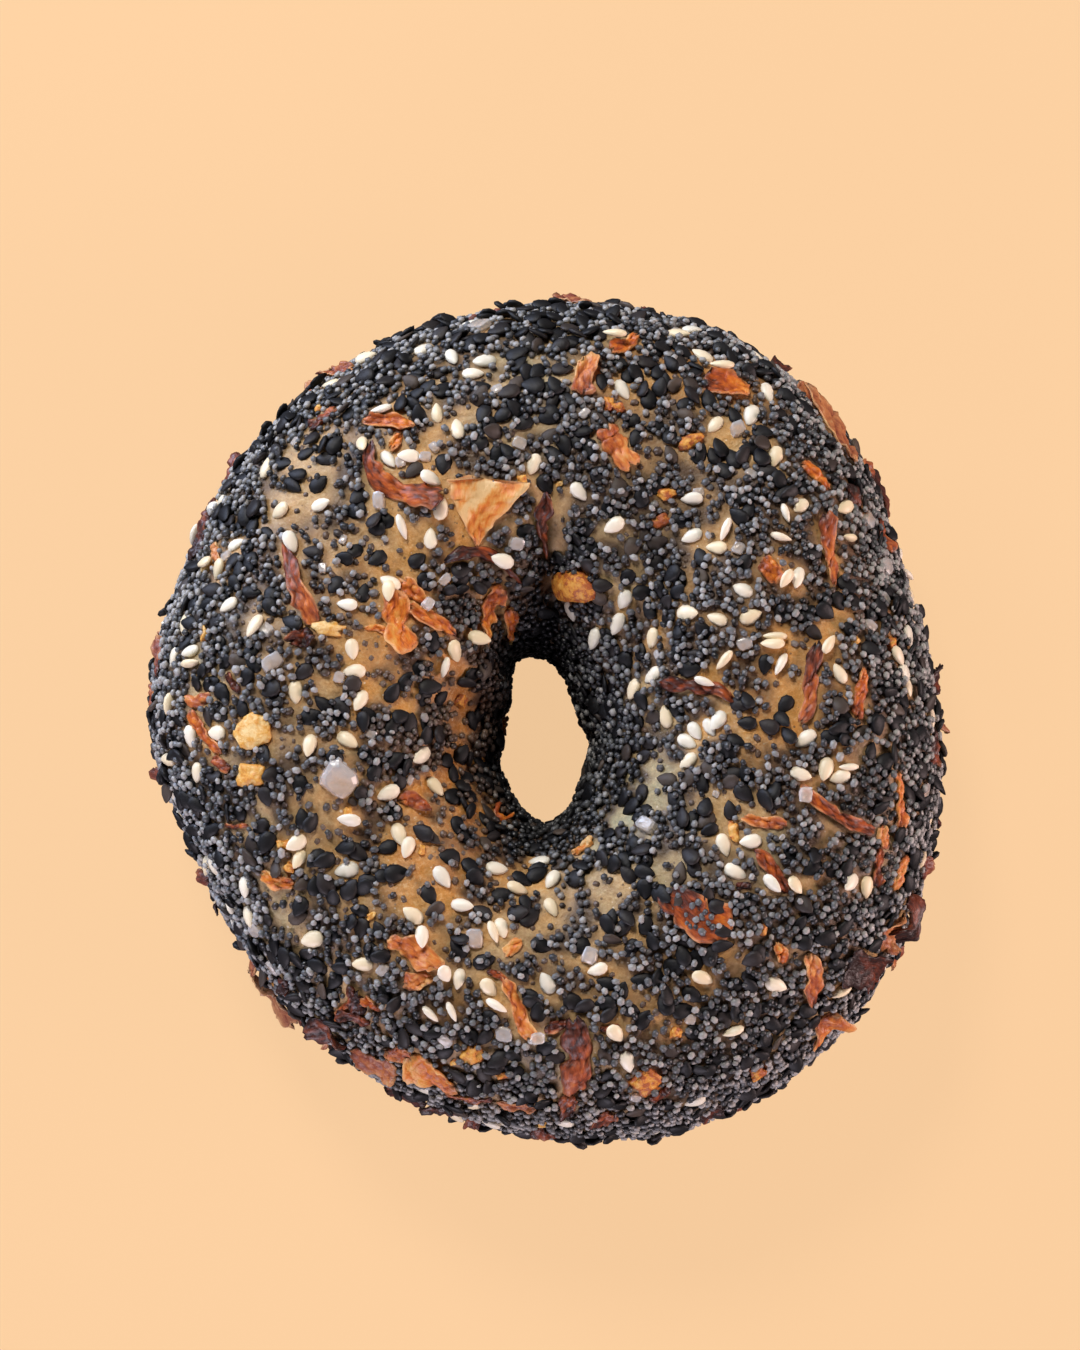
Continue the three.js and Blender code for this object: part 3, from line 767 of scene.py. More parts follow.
def wave(t, pace, phase):
    """A rough wave along t, about -1 to 1: three sines whose paces aren't whole multiples."""
    return (
        0.55 * np.sin(pace * t + phase)
        + 0.30 * np.sin(2.3 * pace * t + 2.1 * phase)
        + 0.15 * np.sin(4.1 * pace * t + 3.7 * phase)
    )


def strip(u, v, length, width, sweep, taper, phase):
    """A flat strip, u along it and v across it: its heading, its midline, its width and its fray.

    The midline turns through its sweep, and wanders. Its edges taper, are drawn in at the ends and torn
    in a zigzag, and each end slants and frays.
    """
    ends = np.abs(2 * u - 1)
    facing = sweep * (u - 0.5) + WANDER * wave(u, 6.0, phase[0])
    run = np.cumsum(np.cos(facing), axis=0) * length / len(u)
    drift = np.cumsum(np.sin(facing), axis=0) * length / len(u)
    spacing, depth, widest = TEARS
    torn = zigzag(u, length / spacing) * (v > 0) + zigzag(u, length / spacing) * (v < 0)
    ragged = 1 + depth * min(1, widest / width) * torn
    narrowed = 1 - max(taper, 0) * u + min(taper, 0) * (1 - u)
    slim = min(1, SLIM / width)
    side = v * HALF_WIDTH * width * narrowed * np.sqrt(1 - slim * DRAWN_IN * ends**8) * ragged
    depth, widest = FRAY
    fray = depth * min(width, widest) * np.sign(2 * u - 1) * ends**5 * wave(v, 5.0, phase[3])
    fray = fray + np.where(u < 0.5, *draw.uniform(-SLANT, SLANT, 2)) * slim * side * ends**3
    return facing, run - run.mean(), drift - drift.mean(), side, fray


def curl(u, side, length, width, phase):
    """A strip's cross-sections, as ways aside and up, with its creases and its ribs.

    Each is curled to an arc, sin(c s) / c aside and (1 - cos(c s)) / c up, and twisted. Creases run
    along it aslant, as waves folded to one side, and fibres rib it.
    """
    rolled = draw.uniform(*CURL) * (1 if draw.uniform() < UPWARD else -1)
    curve = rolled / max(2.0, 0.9 * width) * (1 + 0.5 * wave(u, 5.0, phase[4]))
    arc, bow = np.sin(curve * side) / curve, (1 - np.cos(curve * side)) / curve
    twist = draw.normal(0, TWIST) * min(1, SLIM / width) * (u - 0.5)
    across, up = arc * np.cos(twist) - bow * np.sin(twist), arc * np.sin(twist) + bow * np.cos(twist)
    creases = CREASES[0] * np.abs(wave(side + 0.7 * u * length, 1.3, phase[5]))
    creases = creases + CREASES[1] * np.abs(wave(1.6 * side - u * length, 1.9, phase[9]))
    ribs = 0.5 + 0.5 * np.sin(side * TURN / FIBRE + phase[6] + 2 * wave(u, 3.0, phase[7]))
    return across, up - creases + FIBRE_HEIGHT * ribs, creases, ribs


def rounded(top, bottom, middle):
    """Values on a strip as those on a tube: rows that go out on top and back below, and two tips."""
    loops = np.concatenate([top, bottom[:, ::-1]], axis=1)
    return np.concatenate([loops.reshape(-1, *loops.shape[2:]), middle[[0, -1], middle.shape[1] // 2]])


def shred(row, column, heading, length, width, sweep, taper, browning, arch=0.0, buried=False):
    """One shred: the points of a closed tube, its marks, and the balls that stand for it in the bed.

    Each cross-section of a curled strip is set down on the crust. Its ends are lifted by a parabola, its
    middle by an arch, and its downhill edge by STAND where the crust is steep. The strip is given its
    thickness on both sides. Its browning is blotched by waves, and goes from one end to the other.
    """
    phase = draw.uniform(0, TURN, 10)
    foot, normal = on_skin(row, column)
    along, aside, _ = frames(normal[None], np.array([heading]))[0].T
    u = np.linspace(0.0, 1.0, ONION_STEPS[0])[:, None]
    v = np.linspace(-1.0, 1.0, ONION_STEPS[1])[None, :]
    ends = np.abs(2 * u - 1)
    facing, run, drift, side, fray = strip(u, v, length, width, sweep, taper, phase)
    across, up, creases, ribs = curl(u, side, length, width, phase)
    held = draw.uniform(*HELD)
    lift = draw.uniform(*LIFT) * (1 - 0.4 * normal[2]) * length * (u - held) ** 2 * max(0, 1 - arch)
    a = run - np.sin(facing) * across + np.cos(facing) * fray
    b = drift + np.cos(facing) * across + np.sin(facing) * fray
    downhill = -(a * along[2] + b * aside[2]) / max(0.2, math.hypot(along[2], aside[2]))
    off = STAND * (1 - normal[2]) ** 2 * (downhill - downhill.min())
    off = STANDOFF * np.tanh(off / STANDOFF)
    height = up - up.min(axis=1, keepdims=True) + lift + off + arch * np.sin(math.pi * u)
    if buried:
        height = BURIED_RISE + BURIED_SHARE * height
    places, slants = over_skin(row, column, along, aside, a, b)
    middle = places + height[..., None] * slants
    out = unit(np.cross(np.gradient(middle, axis=0), np.gradient(middle, axis=1)))
    thin = 0.5 * ONION_THICKNESS * np.sqrt(1.12 - v**4) * np.sqrt(1.12 - ends**6)
    above, below = middle + thin[..., None] * out, middle - thin[..., None] * out

    slow = BLOTCHES[0] + PALE[1] * max(0, PALE[0] - browning)
    blotch = slow * wave(side + 0.5 * u * length, 1.1, phase[8]) + CHARRED_ENDS * ends**4
    blotch = blotch + BLOTCHES[1] * wave(0.8 * u * length - side, 2.6, phase[2])
    blotch = blotch + draw.uniform(-ONE_END, ONE_END) * (u - 0.5)
    # The ribs are painted paler, a painted highlight, and the creases darker, painted shade.
    tone = browning + blotch - PAINTED_FIBRE_HIGHLIGHT * ribs + PAINTED_CREASE_SHADE * creases
    rim = np.maximum(np.abs(v) ** 9, ends**14) * np.clip(RIM_FADE[0] - RIM_FADE[1] * tone, 0, 1)
    outer = smooth((np.hypot(*foot[:2]) - OUTER[0]) / OUTER[1])
    dull = np.clip(draw.uniform(-DULLNESS, DULLNESS) + outer * (1 - normal[2]), 0, 1)
    fields = np.broadcast_arrays(tone, side, u * length, rim, dull)
    names = ("browning", "across", "along", "rim", "dull")
    marks = {name: rounded(field, field, field) for name, field in zip(names, fields)}

    on_top = np.zeros((0, 3)) if buried else above[1:-1:2, 1:-1:2].reshape(-1, 3)
    shield = np.clip(max(1.1 * width / ONION_STEPS[1], length / ONION_STEPS[0]), *SHIELD)
    clear.append(np.column_stack([on_top + CLEARANCE * normal, np.full(len(on_top), shield)]))
    return rounded(above, below, middle), marks, np.column_stack([on_top, np.full(len(on_top), ONION_BALL)])


def tube_faces(rows, columns):
    """Faces of a tube of rows, each a loop of points, that is closed at both ends by a tip."""
    i, j = np.meshgrid(np.arange(rows - 1), np.arange(columns), indexing="ij")
    here, after = i * columns + j, i * columns + (j + 1) % columns
    sides = np.stack([here, after, after + columns, here + columns], axis=-1).reshape(-1, 4)
    k = np.arange(columns)
    last, first_tip = (rows - 1) * columns, rows * columns
    start = np.stack([np.full_like(k, first_tip), (k + 1) % columns, k], axis=-1)
    finish = np.stack([np.full_like(k, first_tip + 1), last + k, last + (k + 1) % columns], axis=-1)
    return [sides, np.concatenate([start, finish])]


def outward(points, faces):
    """Faces turned round, where the mesh they close has a volume below zero."""
    thirds = [f[:, :3] for f in faces] + [f[:, [0, 2, 3]] for f in faces if f.shape[1] == 4]
    corners = [points[f] for f in thirds]
    volume = sum(np.einsum("ij,ij->", c[:, 0], np.cross(c[:, 1], c[:, 2])) for c in corners)
    return faces if volume > 0 else [f[:, ::-1] for f in faces]


def sprinkle(name, bodies, steps, material, marks):
    """Joins bodies, one a row, into one piece. A mark has a number for each body or for each point."""
    count, points_each, _ = bodies.shape
    shifts = np.arange(count)[:, None, None] * points_each
    faces = outward(bodies[0], tube_faces(*steps))
    faces = [(f[None] + shifts).reshape(-1, f.shape[1]) for f in faces]
    spread = {
        mark: np.broadcast_to(np.reshape(values, (count, -1)), (count, points_each))
        for mark, values in marks.items()
    }
    piece = put(name, bodies.reshape(-1, 3), faces, material, spread)
    dress(piece)
    return piece


made, taken = [], []
for x, y, heading, length, width, sweep, taper, browning in ONION:
    foot = seen_at(x, y)
    form = math.radians(sweep), taper, browning, ARCHES.get((x, y), 0.0), (x, y) in BURIED
    made.append(shred(*foot, math.radians(heading), length, width, *form))
    lay(made[-1][2])
    taken.append(on_skin(*map(np.array, foot))[0])
for row, column in zip(*spots(SHRED_TRIES)):
    if len(made) >= len(ONION) + SHREDS:
        break
    foot, normal = on_skin(row, column)
    near = min(np.linalg.norm(foot - other) for other in taken)
    if near < SHRED_SPACING or normal[2] > STEEP or foot[2] < LOWEST or np.hypot(*foot[:2]) < OUTSIDE:
        continue
    taken.append(foot)
    size = draw.uniform(*SHRED_LENGTH), draw.uniform(*SHRED_WIDTH)
    form = draw.normal(0, SHRED_SWEEP), draw.uniform(*SHRED_TAPER), draw.uniform(*SHRED_BROWNING)
    made.append(shred(row, column, draw.uniform(0, TURN), *size, *form))
    lay(made[-1][2])

# Oven-dried onion: a thin skin with fibres along it, amber and a little glossy with its own sugar, or
# dull and rose brown on the sides. Its torn rims are pale. Its ribs are painted paler, a painted
# highlight, and its creases darker, painted shade.
onion_finish, tree = finish_of("browned_dried_onion")
browning, along, across, dull, rim = (
    add(tree, "Attribute", attribute_name=name).outputs["Fac"]
    for name in ("browning", "along", "across", "dull", "rim")
)
slow = add(tree, "Math", {0: along, 1: 0.35}, operation="MULTIPLY")
weave = add(tree, "CombineXYZ", {"X": slow, "Y": across})
fibres = add(tree, "TexNoise", {"Vector": weave, "Scale": 2.2, "Detail": 4.0, "Roughness": 0.60})
streaked = add(tree, "Math", {0: fibres, 1: 0.7, 2: browning}, operation="MULTIPLY_ADD")
shade = add(tree, "MapRange", {"Value": streaked, "From Min": 0.15, "From Max": 1.4})
amber = add(
    tree, "ValToRGB", {"Fac": shade},
    [(0.05, "E4BE82"), (0.20, "DE9C48"), (0.38, "D87826"), (0.56, "AC5020"), (0.76, "5E2A18"),
     (0.95, "261412")],
)
rose = add(
    tree, "ValToRGB", {"Fac": shade},
    [(0.10, "DCBE96"), (0.35, "BC7E54"), (0.60, "824434"), (0.90, "331D18")],
)
dulled = add(tree, "Mix", {FACTOR: dull, FIRST: amber, SECOND: rose}, data_type="RGBA")
torn = add(tree, "Math", {0: rim, 1: 0.7}, operation="MULTIPLY")
rimmed = add(tree, "Mix", {FACTOR: torn, FIRST: dulled, SECOND: "EABE84"}, data_type="RGBA")
fibrous = add(tree, "Bump", {"Height": fibres, "Strength": 0.8, "Distance": 0.28 / METRE})
shader = add(
    tree, "BsdfPrincipled",
    {"Base Color": rimmed, "Roughness": 0.42, "Normal": fibrous, "Specular IOR Level": 0.35,
     "Coat Weight": 0.12, "Coat Roughness": 0.2},
)
add(tree, "OutputMaterial", {"Surface": shader})

onion_marks = {name: np.array([m[1][name] for m in made]) for name in made[0][1]}
onion_bodies = off_the_table(np.array([m[0] for m in made]))
loop_steps = ONION_STEPS[0], 2 * ONION_STEPS[1]
sprinkle("dried_onion", onion_bodies, loop_steps, onion_finish, onion_marks)

# ---- Dried garlic -------------------------------------------------------------------------------
# Granules and chips of dried garlic: solid lumps, crumbly outside, golden to browned, each paler on top
# and darker towards the bottom. They are pressed into the crust.

GARLIC = [  # x, y as seen from the camera, heading, length, width, height, browning
    (4.6, 18.6, 12, 8.0, 4.4, 3.0, 0.55),
    (-40.6, -2.1, 30, 5.0, 4.4, 1.4, 0.15),
    (-40.6, -8.1, 10, 4.0, 3.0, 1.4, 0.30),
    (-30.1, 12.5, -5, 4.3, 1.9, 1.2, 0.10),
    (14.2, -50.3, 20, 3.8, 3.6, 1.4, 0.60),
    (29.6, -49.0, 0, 2.3, 2.0, 1.6, 0.65),
    (20.8, 38.9, 30, 3.5, 1.6, 1.2, 0.60),
    (17.3, 31.5, 10, 2.3, 1.5, 1.2, 0.55),
    (16.4, 27.6, 30, 2.2, 1.5, 1.2, 0.75),
    (10.0, 56.8, 0, 1.9, 1.4, 1.2, 0.70),
    (9.2, 44.0, 90, 2.2, 1.1, 1.0, 0.70),
    (-11.8, 2.4, 45, 1.7, 1.7, 1.4, 0.60),
    (18.3, -43.7, 0, 1.6, 1.3, 1.1, 0.55),
    (26.5, -16.1, -80, 2.6, 1.4, 1.2, 0.35),
    (-9.9, -46.8, 0, 2.8, 2.2, 1.5, 0.40),
    (48.5, 10.3, 40, 2.0, 1.5, 1.2, 0.60),
    (-36.2, -17.8, 0, 1.8, 1.2, 1.0, 0.40),
]
GRANULES = 40
GRANULE_SIZE = (0.9, 2.0)
GRANULE_SHAPE = ([1.0, 0.6, 0.6], [1.3, 0.9, 0.8])  # least and most of its three sizes, as shares
GRANULE_TONE = (0.0, 0.7)
GARLIC_STEPS = (10, 16)
GARLIC_SUNK = 0.2  # least height of its middle over the crust, as a share of its own height
CRUMBLE = (0.7, 0.20)  # depth of a lump's dents, and the most that is as a share of its length
BALL_SHARE = 0.42  # a ball that stands for a lump, as a share of its middle size
TALLEST = 0.8  # most that a lump's middle stands over the crust
OVER_FLAKES = 2.5  # more, for a listed lump on the crown
RIPPLES = 6


def lumps(sizes, steps, squareness, roughness, pace):
    """Uneven lumps of given lengths, widths and heights.

    Each is a sphere whose coordinates are raised to a power, its squareness, with its distance from the
    middle rippled by plane sine waves of a pace, in random directions.
    """
    rows, columns = steps
    up = np.linspace(0, math.pi, rows + 2)[1:-1, None]
    turn = np.linspace(0, TURN, columns, endpoint=False)[None, :]
    ball = np.stack([np.sin(up) * np.cos(turn), np.sin(up) * np.sin(turn), np.cos(up) + 0 * turn], axis=-1)
    ball = np.concatenate([ball.reshape(-1, 3), [[0, 0, 1.0], [0, 0, -1.0]]])
    body = np.sign(ball) * np.abs(ball) ** squareness
    ways = pace * unit(draw.normal(size=(len(sizes), RIPPLES, 3)))
    shifts = draw.uniform(0, TURN, (len(sizes), RIPPLES, 1))
    ripple = np.sin(np.einsum("nwi,vi->nwv", ways, ball) + shifts).sum(axis=1) / 2
    return body[None] * 0.5 * sizes[:, None] * (1 + roughness * ripple)[..., None]


def placed(bodies, axes, middles):
    """Turns each body into its axes, and sets its middle at its place."""
    return off_the_table(np.einsum("nij,nvj->nvi", axes, bodies) + middles[:, None])


def press_in(listed, sizes, headings, extra, sunk):
    """Lays lumps at the listed places and at extra random ones: their axes and middles."""
    rows, columns = np.array([seen_at(x, y) for x, y in listed]).T
    more = spots(extra)
    feet, normals = on_skin(np.concatenate([rows, more[0]]), np.concatenate([columns, more[1]]))
    middling = np.sort(sizes, axis=1)[:, 1]
    heights = np.array([
        max(sunk * height, rise_over(foot, normal, BALL_SHARE * size))
        for foot, normal, size, height in zip(feet.tolist(), normals.tolist(), middling, sizes[:, 2])
    ])
    chosen = np.arange(len(feet)) < len(listed)
    heights = np.minimum(heights, TALLEST + chosen * smooth(2 * normals[:, 2]) * OVER_FLAKES)
    axes = frames(normals, headings)
    middles = feet + heights[:, None] * normals
    for shift in (-1, 0, 1):
        reach = np.maximum(sizes[:, 0] - middling, 0.4 * sizes[:, 0]) / 2
        centres = middles + (shift * reach)[:, None] * axes[:, :, 0]
        lay(np.column_stack([centres, BALL_SHARE * middling]))
        clear.append(np.column_stack([centres + CLEARANCE * normals, BALL_SHARE * middling]))
    return axes, middles


listed = np.array(GARLIC)
sizes = draw.uniform(*GRANULE_SIZE, (GRANULES, 1))
sizes = np.concatenate([listed[:, 3:6], sizes * draw.uniform(*GRANULE_SHAPE, (GRANULES, 3))])
headings = np.concatenate([np.radians(listed[:, 2]), draw.uniform(0, TURN, GRANULES)])
spots_taken = press_in(listed[:, :2], sizes, headings, GRANULES, GARLIC_SUNK)
crumbled = np.minimum(CRUMBLE[1], CRUMBLE[0] / sizes[:, :1])
garlic_bodies = lumps(sizes, GARLIC_STEPS, squareness=0.78, roughness=crumbled, pace=6.0)
garlic_tone = np.concatenate([listed[:, 6], draw.uniform(*GRANULE_TONE, GRANULES)])
garlic_tone = 0.7 * garlic_tone[:, None] - 0.25 * garlic_bodies[..., 2] / sizes[:, None, 2]

# Dried garlic: a hard crumb, rough, browned unevenly.
garlic_finish, tree = finish_of("toasted_dried_garlic")
place = add(tree, "TexCoord").outputs["Object"]
tone = add(tree, "Attribute", attribute_name="tone").outputs["Fac"]
crumbs = add(tree, "TexNoise", {"Vector": place, "Scale": METRE / 0.9, "Detail": 3.0, "Roughness": 0.65})
uneven = add(tree, "Math", {0: crumbs, 1: 1.2, 2: tone}, operation="MULTIPLY_ADD")
golden = add(
    tree, "ValToRGB", {"Fac": uneven},
    [(0.45, "EFCC8A"), (0.70, "E2A84C"), (0.90, "D08430"), (1.0, "A8582A")],
)
crumbly = add(tree, "Bump", {"Height": crumbs, "Strength": 0.9, "Distance": 0.4 / METRE})
shader = add(tree, "BsdfPrincipled", {"Base Color": golden, "Roughness": 0.5, "Normal": crumbly})
add(tree, "OutputMaterial", {"Surface": shader})

garlic_bodies = placed(garlic_bodies, *spots_taken)
sprinkle("dried_garlic", garlic_bodies, GARLIC_STEPS, garlic_finish, {"tone": garlic_tone})

# ---- Coarse salt --------------------------------------------------------------------------------
# Crystals of sea salt, cloudy inside and clear at their edges. Each is a blunt block with flat,
# uneven sides, half sunk in the crust.

SALT = [  # x, y as seen from the camera, size
    (-28.6, -8.9, 5.0), (-8.8, 55.0, 3.2), (-2.5, 56.9, 2.2), (-22.9, 30.5, 2.4), (-20.0, 36.0, 1.5),
    (-16.6, 36.7, 1.6), (-15.3, 37.9, 1.6), (-3.4, 38.6, 1.8), (-28.1, 25.0, 1.4), (-16.3, 15.9, 1.8),
    (-37.9, 7.7, 2.7), (-28.6, 5.6, 1.8), (-38.7, 12.3, 2.2), (-44.3, 22.4, 1.8), (-34.8, 38.7, 1.5),
    (-34.8, 44.7, 1.8), (-50.4, 18.3, 1.4), (-13.8, 19.5, 2.0), (-3.9, 24.5, 2.2), (-6.4, 46.1, 1.8),
    (27.3, 23.8, 1.9), (45.2, 27.8, 2.7), (47.6, 21.1, 2.6), (47.7, 16.5, 1.9), (27.3, 40.5, 2.4),
    (25.5, 51.9, 1.5), (28.0, 10.3, 2.0), (45.7, 12.8, 2.0), (5.7, 42.8, 1.8), (-9.5, -30.9, 2.8),
    (-22.2, -35.1, 1.8), (-37.3, -34.6, 2.5), (-39.7, -29.5, 2.4), (-42.2, -30.2, 1.7), (-5.3, -43.9, 2.2),
    (-1.2, -43.9, 1.8), (-24.3, -2.3, 1.8), (-13.6, -44.7, 1.8), (36.2, -10.8, 2.3), (14.6, -15.5, 2.8),
    (40.9, -42.5, 1.6), (53.0, -10.3, 2.4), (6.5, -33.2, 2.6), (12.7, -52.5, 1.6), (51.5, -22.9, 2.0),
]
SALT_GRAINS = 24
GRAIN_SIZE = (0.9, 1.8)
CRYSTAL_SHAPE = ([0.95, 0.65, 0.5], [1.1, 0.95, 0.7])  # least and most of its three sizes, as shares
SALT_SUNK = 0.15  # least height of its middle over the crust, as a share of its own height
SALT_STEPS = (5, 9)

listed = np.array(SALT)
sizes = np.concatenate([listed[:, 2], draw.uniform(*GRAIN_SIZE, SALT_GRAINS)])
sizes = sizes[:, None] * draw.uniform(*CRYSTAL_SHAPE, (len(sizes), 3))
headings = draw.uniform(0, TURN, len(sizes))
spots_taken = press_in(listed[:, :2], sizes, headings, SALT_GRAINS, SALT_SUNK)
salt_bodies = lumps(sizes, SALT_STEPS, squareness=0.55, roughness=0.10, pace=3.0)
corner = np.linalg.norm(2 * salt_bodies / sizes[:, None], axis=-1)

# Sea salt: a clear crystal, milky with small cracks, and whiter towards its corners: partly worn edges,
# partly painted glints along them.
salt_finish, tree = finish_of("cloudy_sea_salt")
place = add(tree, "TexCoord").outputs["Object"]
cracks = add(tree, "TexNoise", {"Vector": place, "Scale": METRE / 1.2, "Detail": 4.0})
corner_wear_and_glint = add(tree, "Attribute", attribute_name="corner").outputs["Fac"]
whitened = add(tree, "Math", {0: cracks, 1: 0.7, 2: corner_wear_and_glint}, operation="MULTIPLY_ADD")
milky = add(
    tree, "ValToRGB", {"Fac": whitened}, [(0.35, "F0E4D4"), (0.60, "FFF8F0"), (0.85, "FFFFFF")],
)
cut = add(tree, "Bump", {"Height": cracks, "Strength": 0.5, "Distance": 0.4 / METRE})
shader = add(
    tree, "BsdfPrincipled",
    {"Base Color": milky, "Roughness": 0.12, "IOR": 1.54, "Transmission Weight": 0.62, "Normal": cut},
)
add(tree, "OutputMaterial", {"Surface": shader})

salt_bodies = placed(salt_bodies, *spots_taken)
salt_marks = {"corner": 1.5 * (corner - 1.0)}
salt = sprinkle("sea_salt", salt_bodies, SALT_STEPS, salt_finish, salt_marks)
salt.data.shade_flat()

# ---- White sesame -------------------------------------------------------------------------------
# Hulled sesame: plump flat drops about 3 mm long, cream, smooth and slightly oily. They lie flat, lean
# on others, or stand on edge.

WHITE = [  # x, y as seen from the camera, and the heading of the blunt end
    (-24.5, 50.2, 80), (-16.9, 51.9, 245), (-12.8, 50.6, 115), (-8.3, 50.1, 25), (-9.9, 48.4, 165),
    (-11.1, 55.7, 15), (-22.6, 43.1, 20), (-14.9, 42.8, 275), (-12.1, 40.6, 280), (-38.8, 35.0, 245),
    (-25.1, 38.4, 130), (-21.7, 36.4, 130), (-18.9, 36.7, 10), (-15.8, 33.6, 160), (-1.4, 35.6, 65),
    (-36.9, 29.0, 25), (-31.2, 29.8, 190), (-14.4, 29.4, 260), (-15.7, 25.5, 270), (-43.1, 24.2, 175),
    (-35.0, 24.6, 125), (-47.6, 25.2, 100), (-46.7, 21.5, 0), (-45.2, 20.6, 80), (-5.8, 22.4, 330),
    (-21.5, 18.9, 335), (-22.0, 17.5, 80), (-27.5, 15.8, 355), (-44.0, 15.6, 30), (-50.1, 12.9, 140),
    (-40.3, 12.6, 75), (-26.8, 9.6, 95), (-49.3, 9.1, 10), (-51.5, 8.3, 60), (-10.1, 11.4, 165),
    (-12.6, 9.3, 115), (-26.5, 6.5, 0), (-34.7, 3.5, 90), (-25.7, 2.3, 60), (4.6, 57.7, 155),
    (9.8, 53.0, 0), (19.0, 53.8, 135), (20.8, 54.3, 165), (22.3, 50.8, 345), (24.6, 48.5, 20),
    (11.1, 46.1, 110), (24.1, 41.2, 52), (29.2, 42.4, 70), (32.5, 36.6, 75), (31.5, 45.7, 85),
    (5.0, 31.7, 130), (20.8, 30.7, 8), (36.0, 29.8, 35), (42.1, 29.4, 20), (46.4, 30.3, 120),
    (9.8, 27.0, 30), (20.8, 25.5, 25), (24.3, 23.8, 355), (49.7, 22.2, 120), (49.9, 19.6, 120),
    (33.7, 19.3, 60), (35.6, 19.6, 65), (27.9, 17.8, 335), (11.2, 16.7, 62), (10.2, 13.4, 65),
    (4.1, 15.0, 105), (20.2, 14.7, 175), (24.3, 13.9, 338), (29.0, 14.2, 205), (7.4, 11.2, 65),
    (15.3, 11.1, 75), (50.9, 11.3, 115), (49.3, 8.4, 130), (39.6, 10.0, 235), (50.4, 6.0, 140),
    (50.7, 4.1, 75), (41.4, 6.1, 305), (15.3, 5.8, 35), (12.7, 3.8, 72), (-32.7, -4.0, 80),
    (-27.4, -3.2, 145), (-17.3, -5.3, 15), (-45.6, -2.1, 0), (-49.2, -2.7, 95), (-48.2, -7.7, 80),
    (-15.1, -9.9, 115), (-21.8, -10.6, 20), (-27.2, -14.3, 0), (-34.4, -17.5, 25), (-34.0, -19.8, 65),
    (-20.1, -16.5, 105), (-18.9, -18.4, 75), (-46.5, -20.6, 60), (-27.4, -21.4, 10), (-45.9, -24.6, 165),
    (-41.3, -23.6, 100), (-14.1, -22.4, 120), (-6.4, -21.3, 175), (-0.4, -20.5, 0), (1.2, -22.9, 70),
    (-3.7, -24.1, 155), (-40.6, -27.6, 140), (-11.4, -26.3, 170), (1.1, -26.6, 110), (-18.2, -27.6, 325),
    (-32.0, -30.9, 15), (-17.0, -30.6, 85), (-25.0, -34.3, 0), (-5.8, -29.4, 105), (-13.8, -35.7, 120),
    (-11.7, -36.4, 80), (-7.4, -37.6, 130), (0.5, -37.0, 300), (-6.6, -55.5, 165), (-13.6, -54.0, 170),
    (17.2, 0.1, 265), (20.1, -3.5, 160), (21.3, -2.0, 135), (23.3, -1.5, 130), (24.5, -0.5, 60),
    (20.3, -6.2, 40), (36.6, -3.1, 35), (35.9, -8.0, 162), (39.3, -7.3, 70), (41.3, -8.4, 15),
    (28.9, -17.4, 8), (25.1, -18.0, 105), (26.7, -21.7, 150), (31.7, -23.3, 148), (35.0, -23.4, 125),
    (42.5, -23.1, 25), (44.8, -23.7, 80), (7.5, -35.1, 20), (22.1, -36.1, 155), (32.1, -37.2, 160),
    (10.0, -43.7, 130), (11.7, -47.8, 105), (20.8, -52.9, 20), (3.0, -56.0, 30), (13.3, -56.9, 155),
]
WHITE_ON_EDGE = [
    (-49.0, 7.4, 175), (-14.0, 7.2, 75), (-51.9, 1.8, 95), (-19.6, 27.0, 110), (33.9, 28.6, 105),
    (33.1, 25.3, 160), (42.4, 25.0, 10), (25.6, 26.3, 70), (32.3, 11.3, 0), (31.9, 10.3, 5),
    (25.3, 8.0, 50), (33.1, 7.4, 60), (22.6, 5.1, 165), (-6.9, -30.0, 110), (-15.6, -41.1, 140),
    (-12.6, -40.9, 115), (-6.3, -40.0, 155), (42.4, -7.0, 0), (41.0, -37.9, 0), (26.2, -43.4, 12),
]
MORE_WHITE = 200  # on the outer sides and under them
WHITE_TRIES = 1200
WHITE_STEEP = 0.45  # they lie where the crust's normal rises less than this
WHITE_LENGTH = (3.1, 0.17)  # mean and spread
WHITE_SHAPE = ([1.0, 0.62, 0.35], [0.0, 0.035, 0.02])  # mean and spread of its sizes, as shares
STOOD_UP = 0.12  # share of them that stand on edge
SQUEEZED = (1.0, 1.0, 0.9)
WHITE_SUNK = (0.05, 0.35)
SUNK_ON_EDGE = 0.3  # what is added for a seed on edge
WHITE_KICK = 0.15
WHITE_PILE = (1.2, 4.0)  # how high a seed may lie, and what is added for a listed one on the crown
SEED_STEPS = (5, 8)  # rings along a seed and points round each
LEAN = 0.8  # steepest slope at which a seed leans
KICK_LIFT = 0.25  # how far a kick raises a seed's middle, as a share of its length
BALL_RADIUS = 0.45
BALL_PLACES = np.array([[0.0, 0.0], [0.3, 0.0], [-0.3, 0.0], [0.05, 0.28], [0.05, -0.28]])


def drops(sizes, steps, hollow, sharpness):
    """Flat drops of given lengths, widths and thicknesses.

    On the ring at an angle p from the blunt end, the radius is sin(p) cos(p / 2) ** sharpness. Each
    ring is an ellipse, drawn in at the middle of both faces by the hollow.
    """
    rings, points = steps
    p = np.linspace(0, math.pi, rings + 2)[1:-1, None]
    turn = np.linspace(0, TURN, points, endpoint=False)[None, :]
    reach = np.sin(p) * np.cos(p / 2) ** sharpness
    reach = reach / reach.max()
    dent = 1 - hollow * np.sin(p) * np.abs(np.sin(turn)) ** 3
    body = np.stack([np.cos(p) + 0 * turn, reach * np.cos(turn), reach * np.sin(turn) * dent], axis=-1)
    body = np.concatenate([body.reshape(-1, 3), [[1.0, 0, 0], [-1.0, 0, 0]]])
    return body[None] * 0.5 * sizes[:, None]


def seed_sizes(count, length, shape):
    """Random lengths, widths and thicknesses for seeds, from a mean length and a mean shape."""
    lengths = draw.normal(*length, count)
    return lengths[:, None] * draw.normal(*shape, (count, 3))


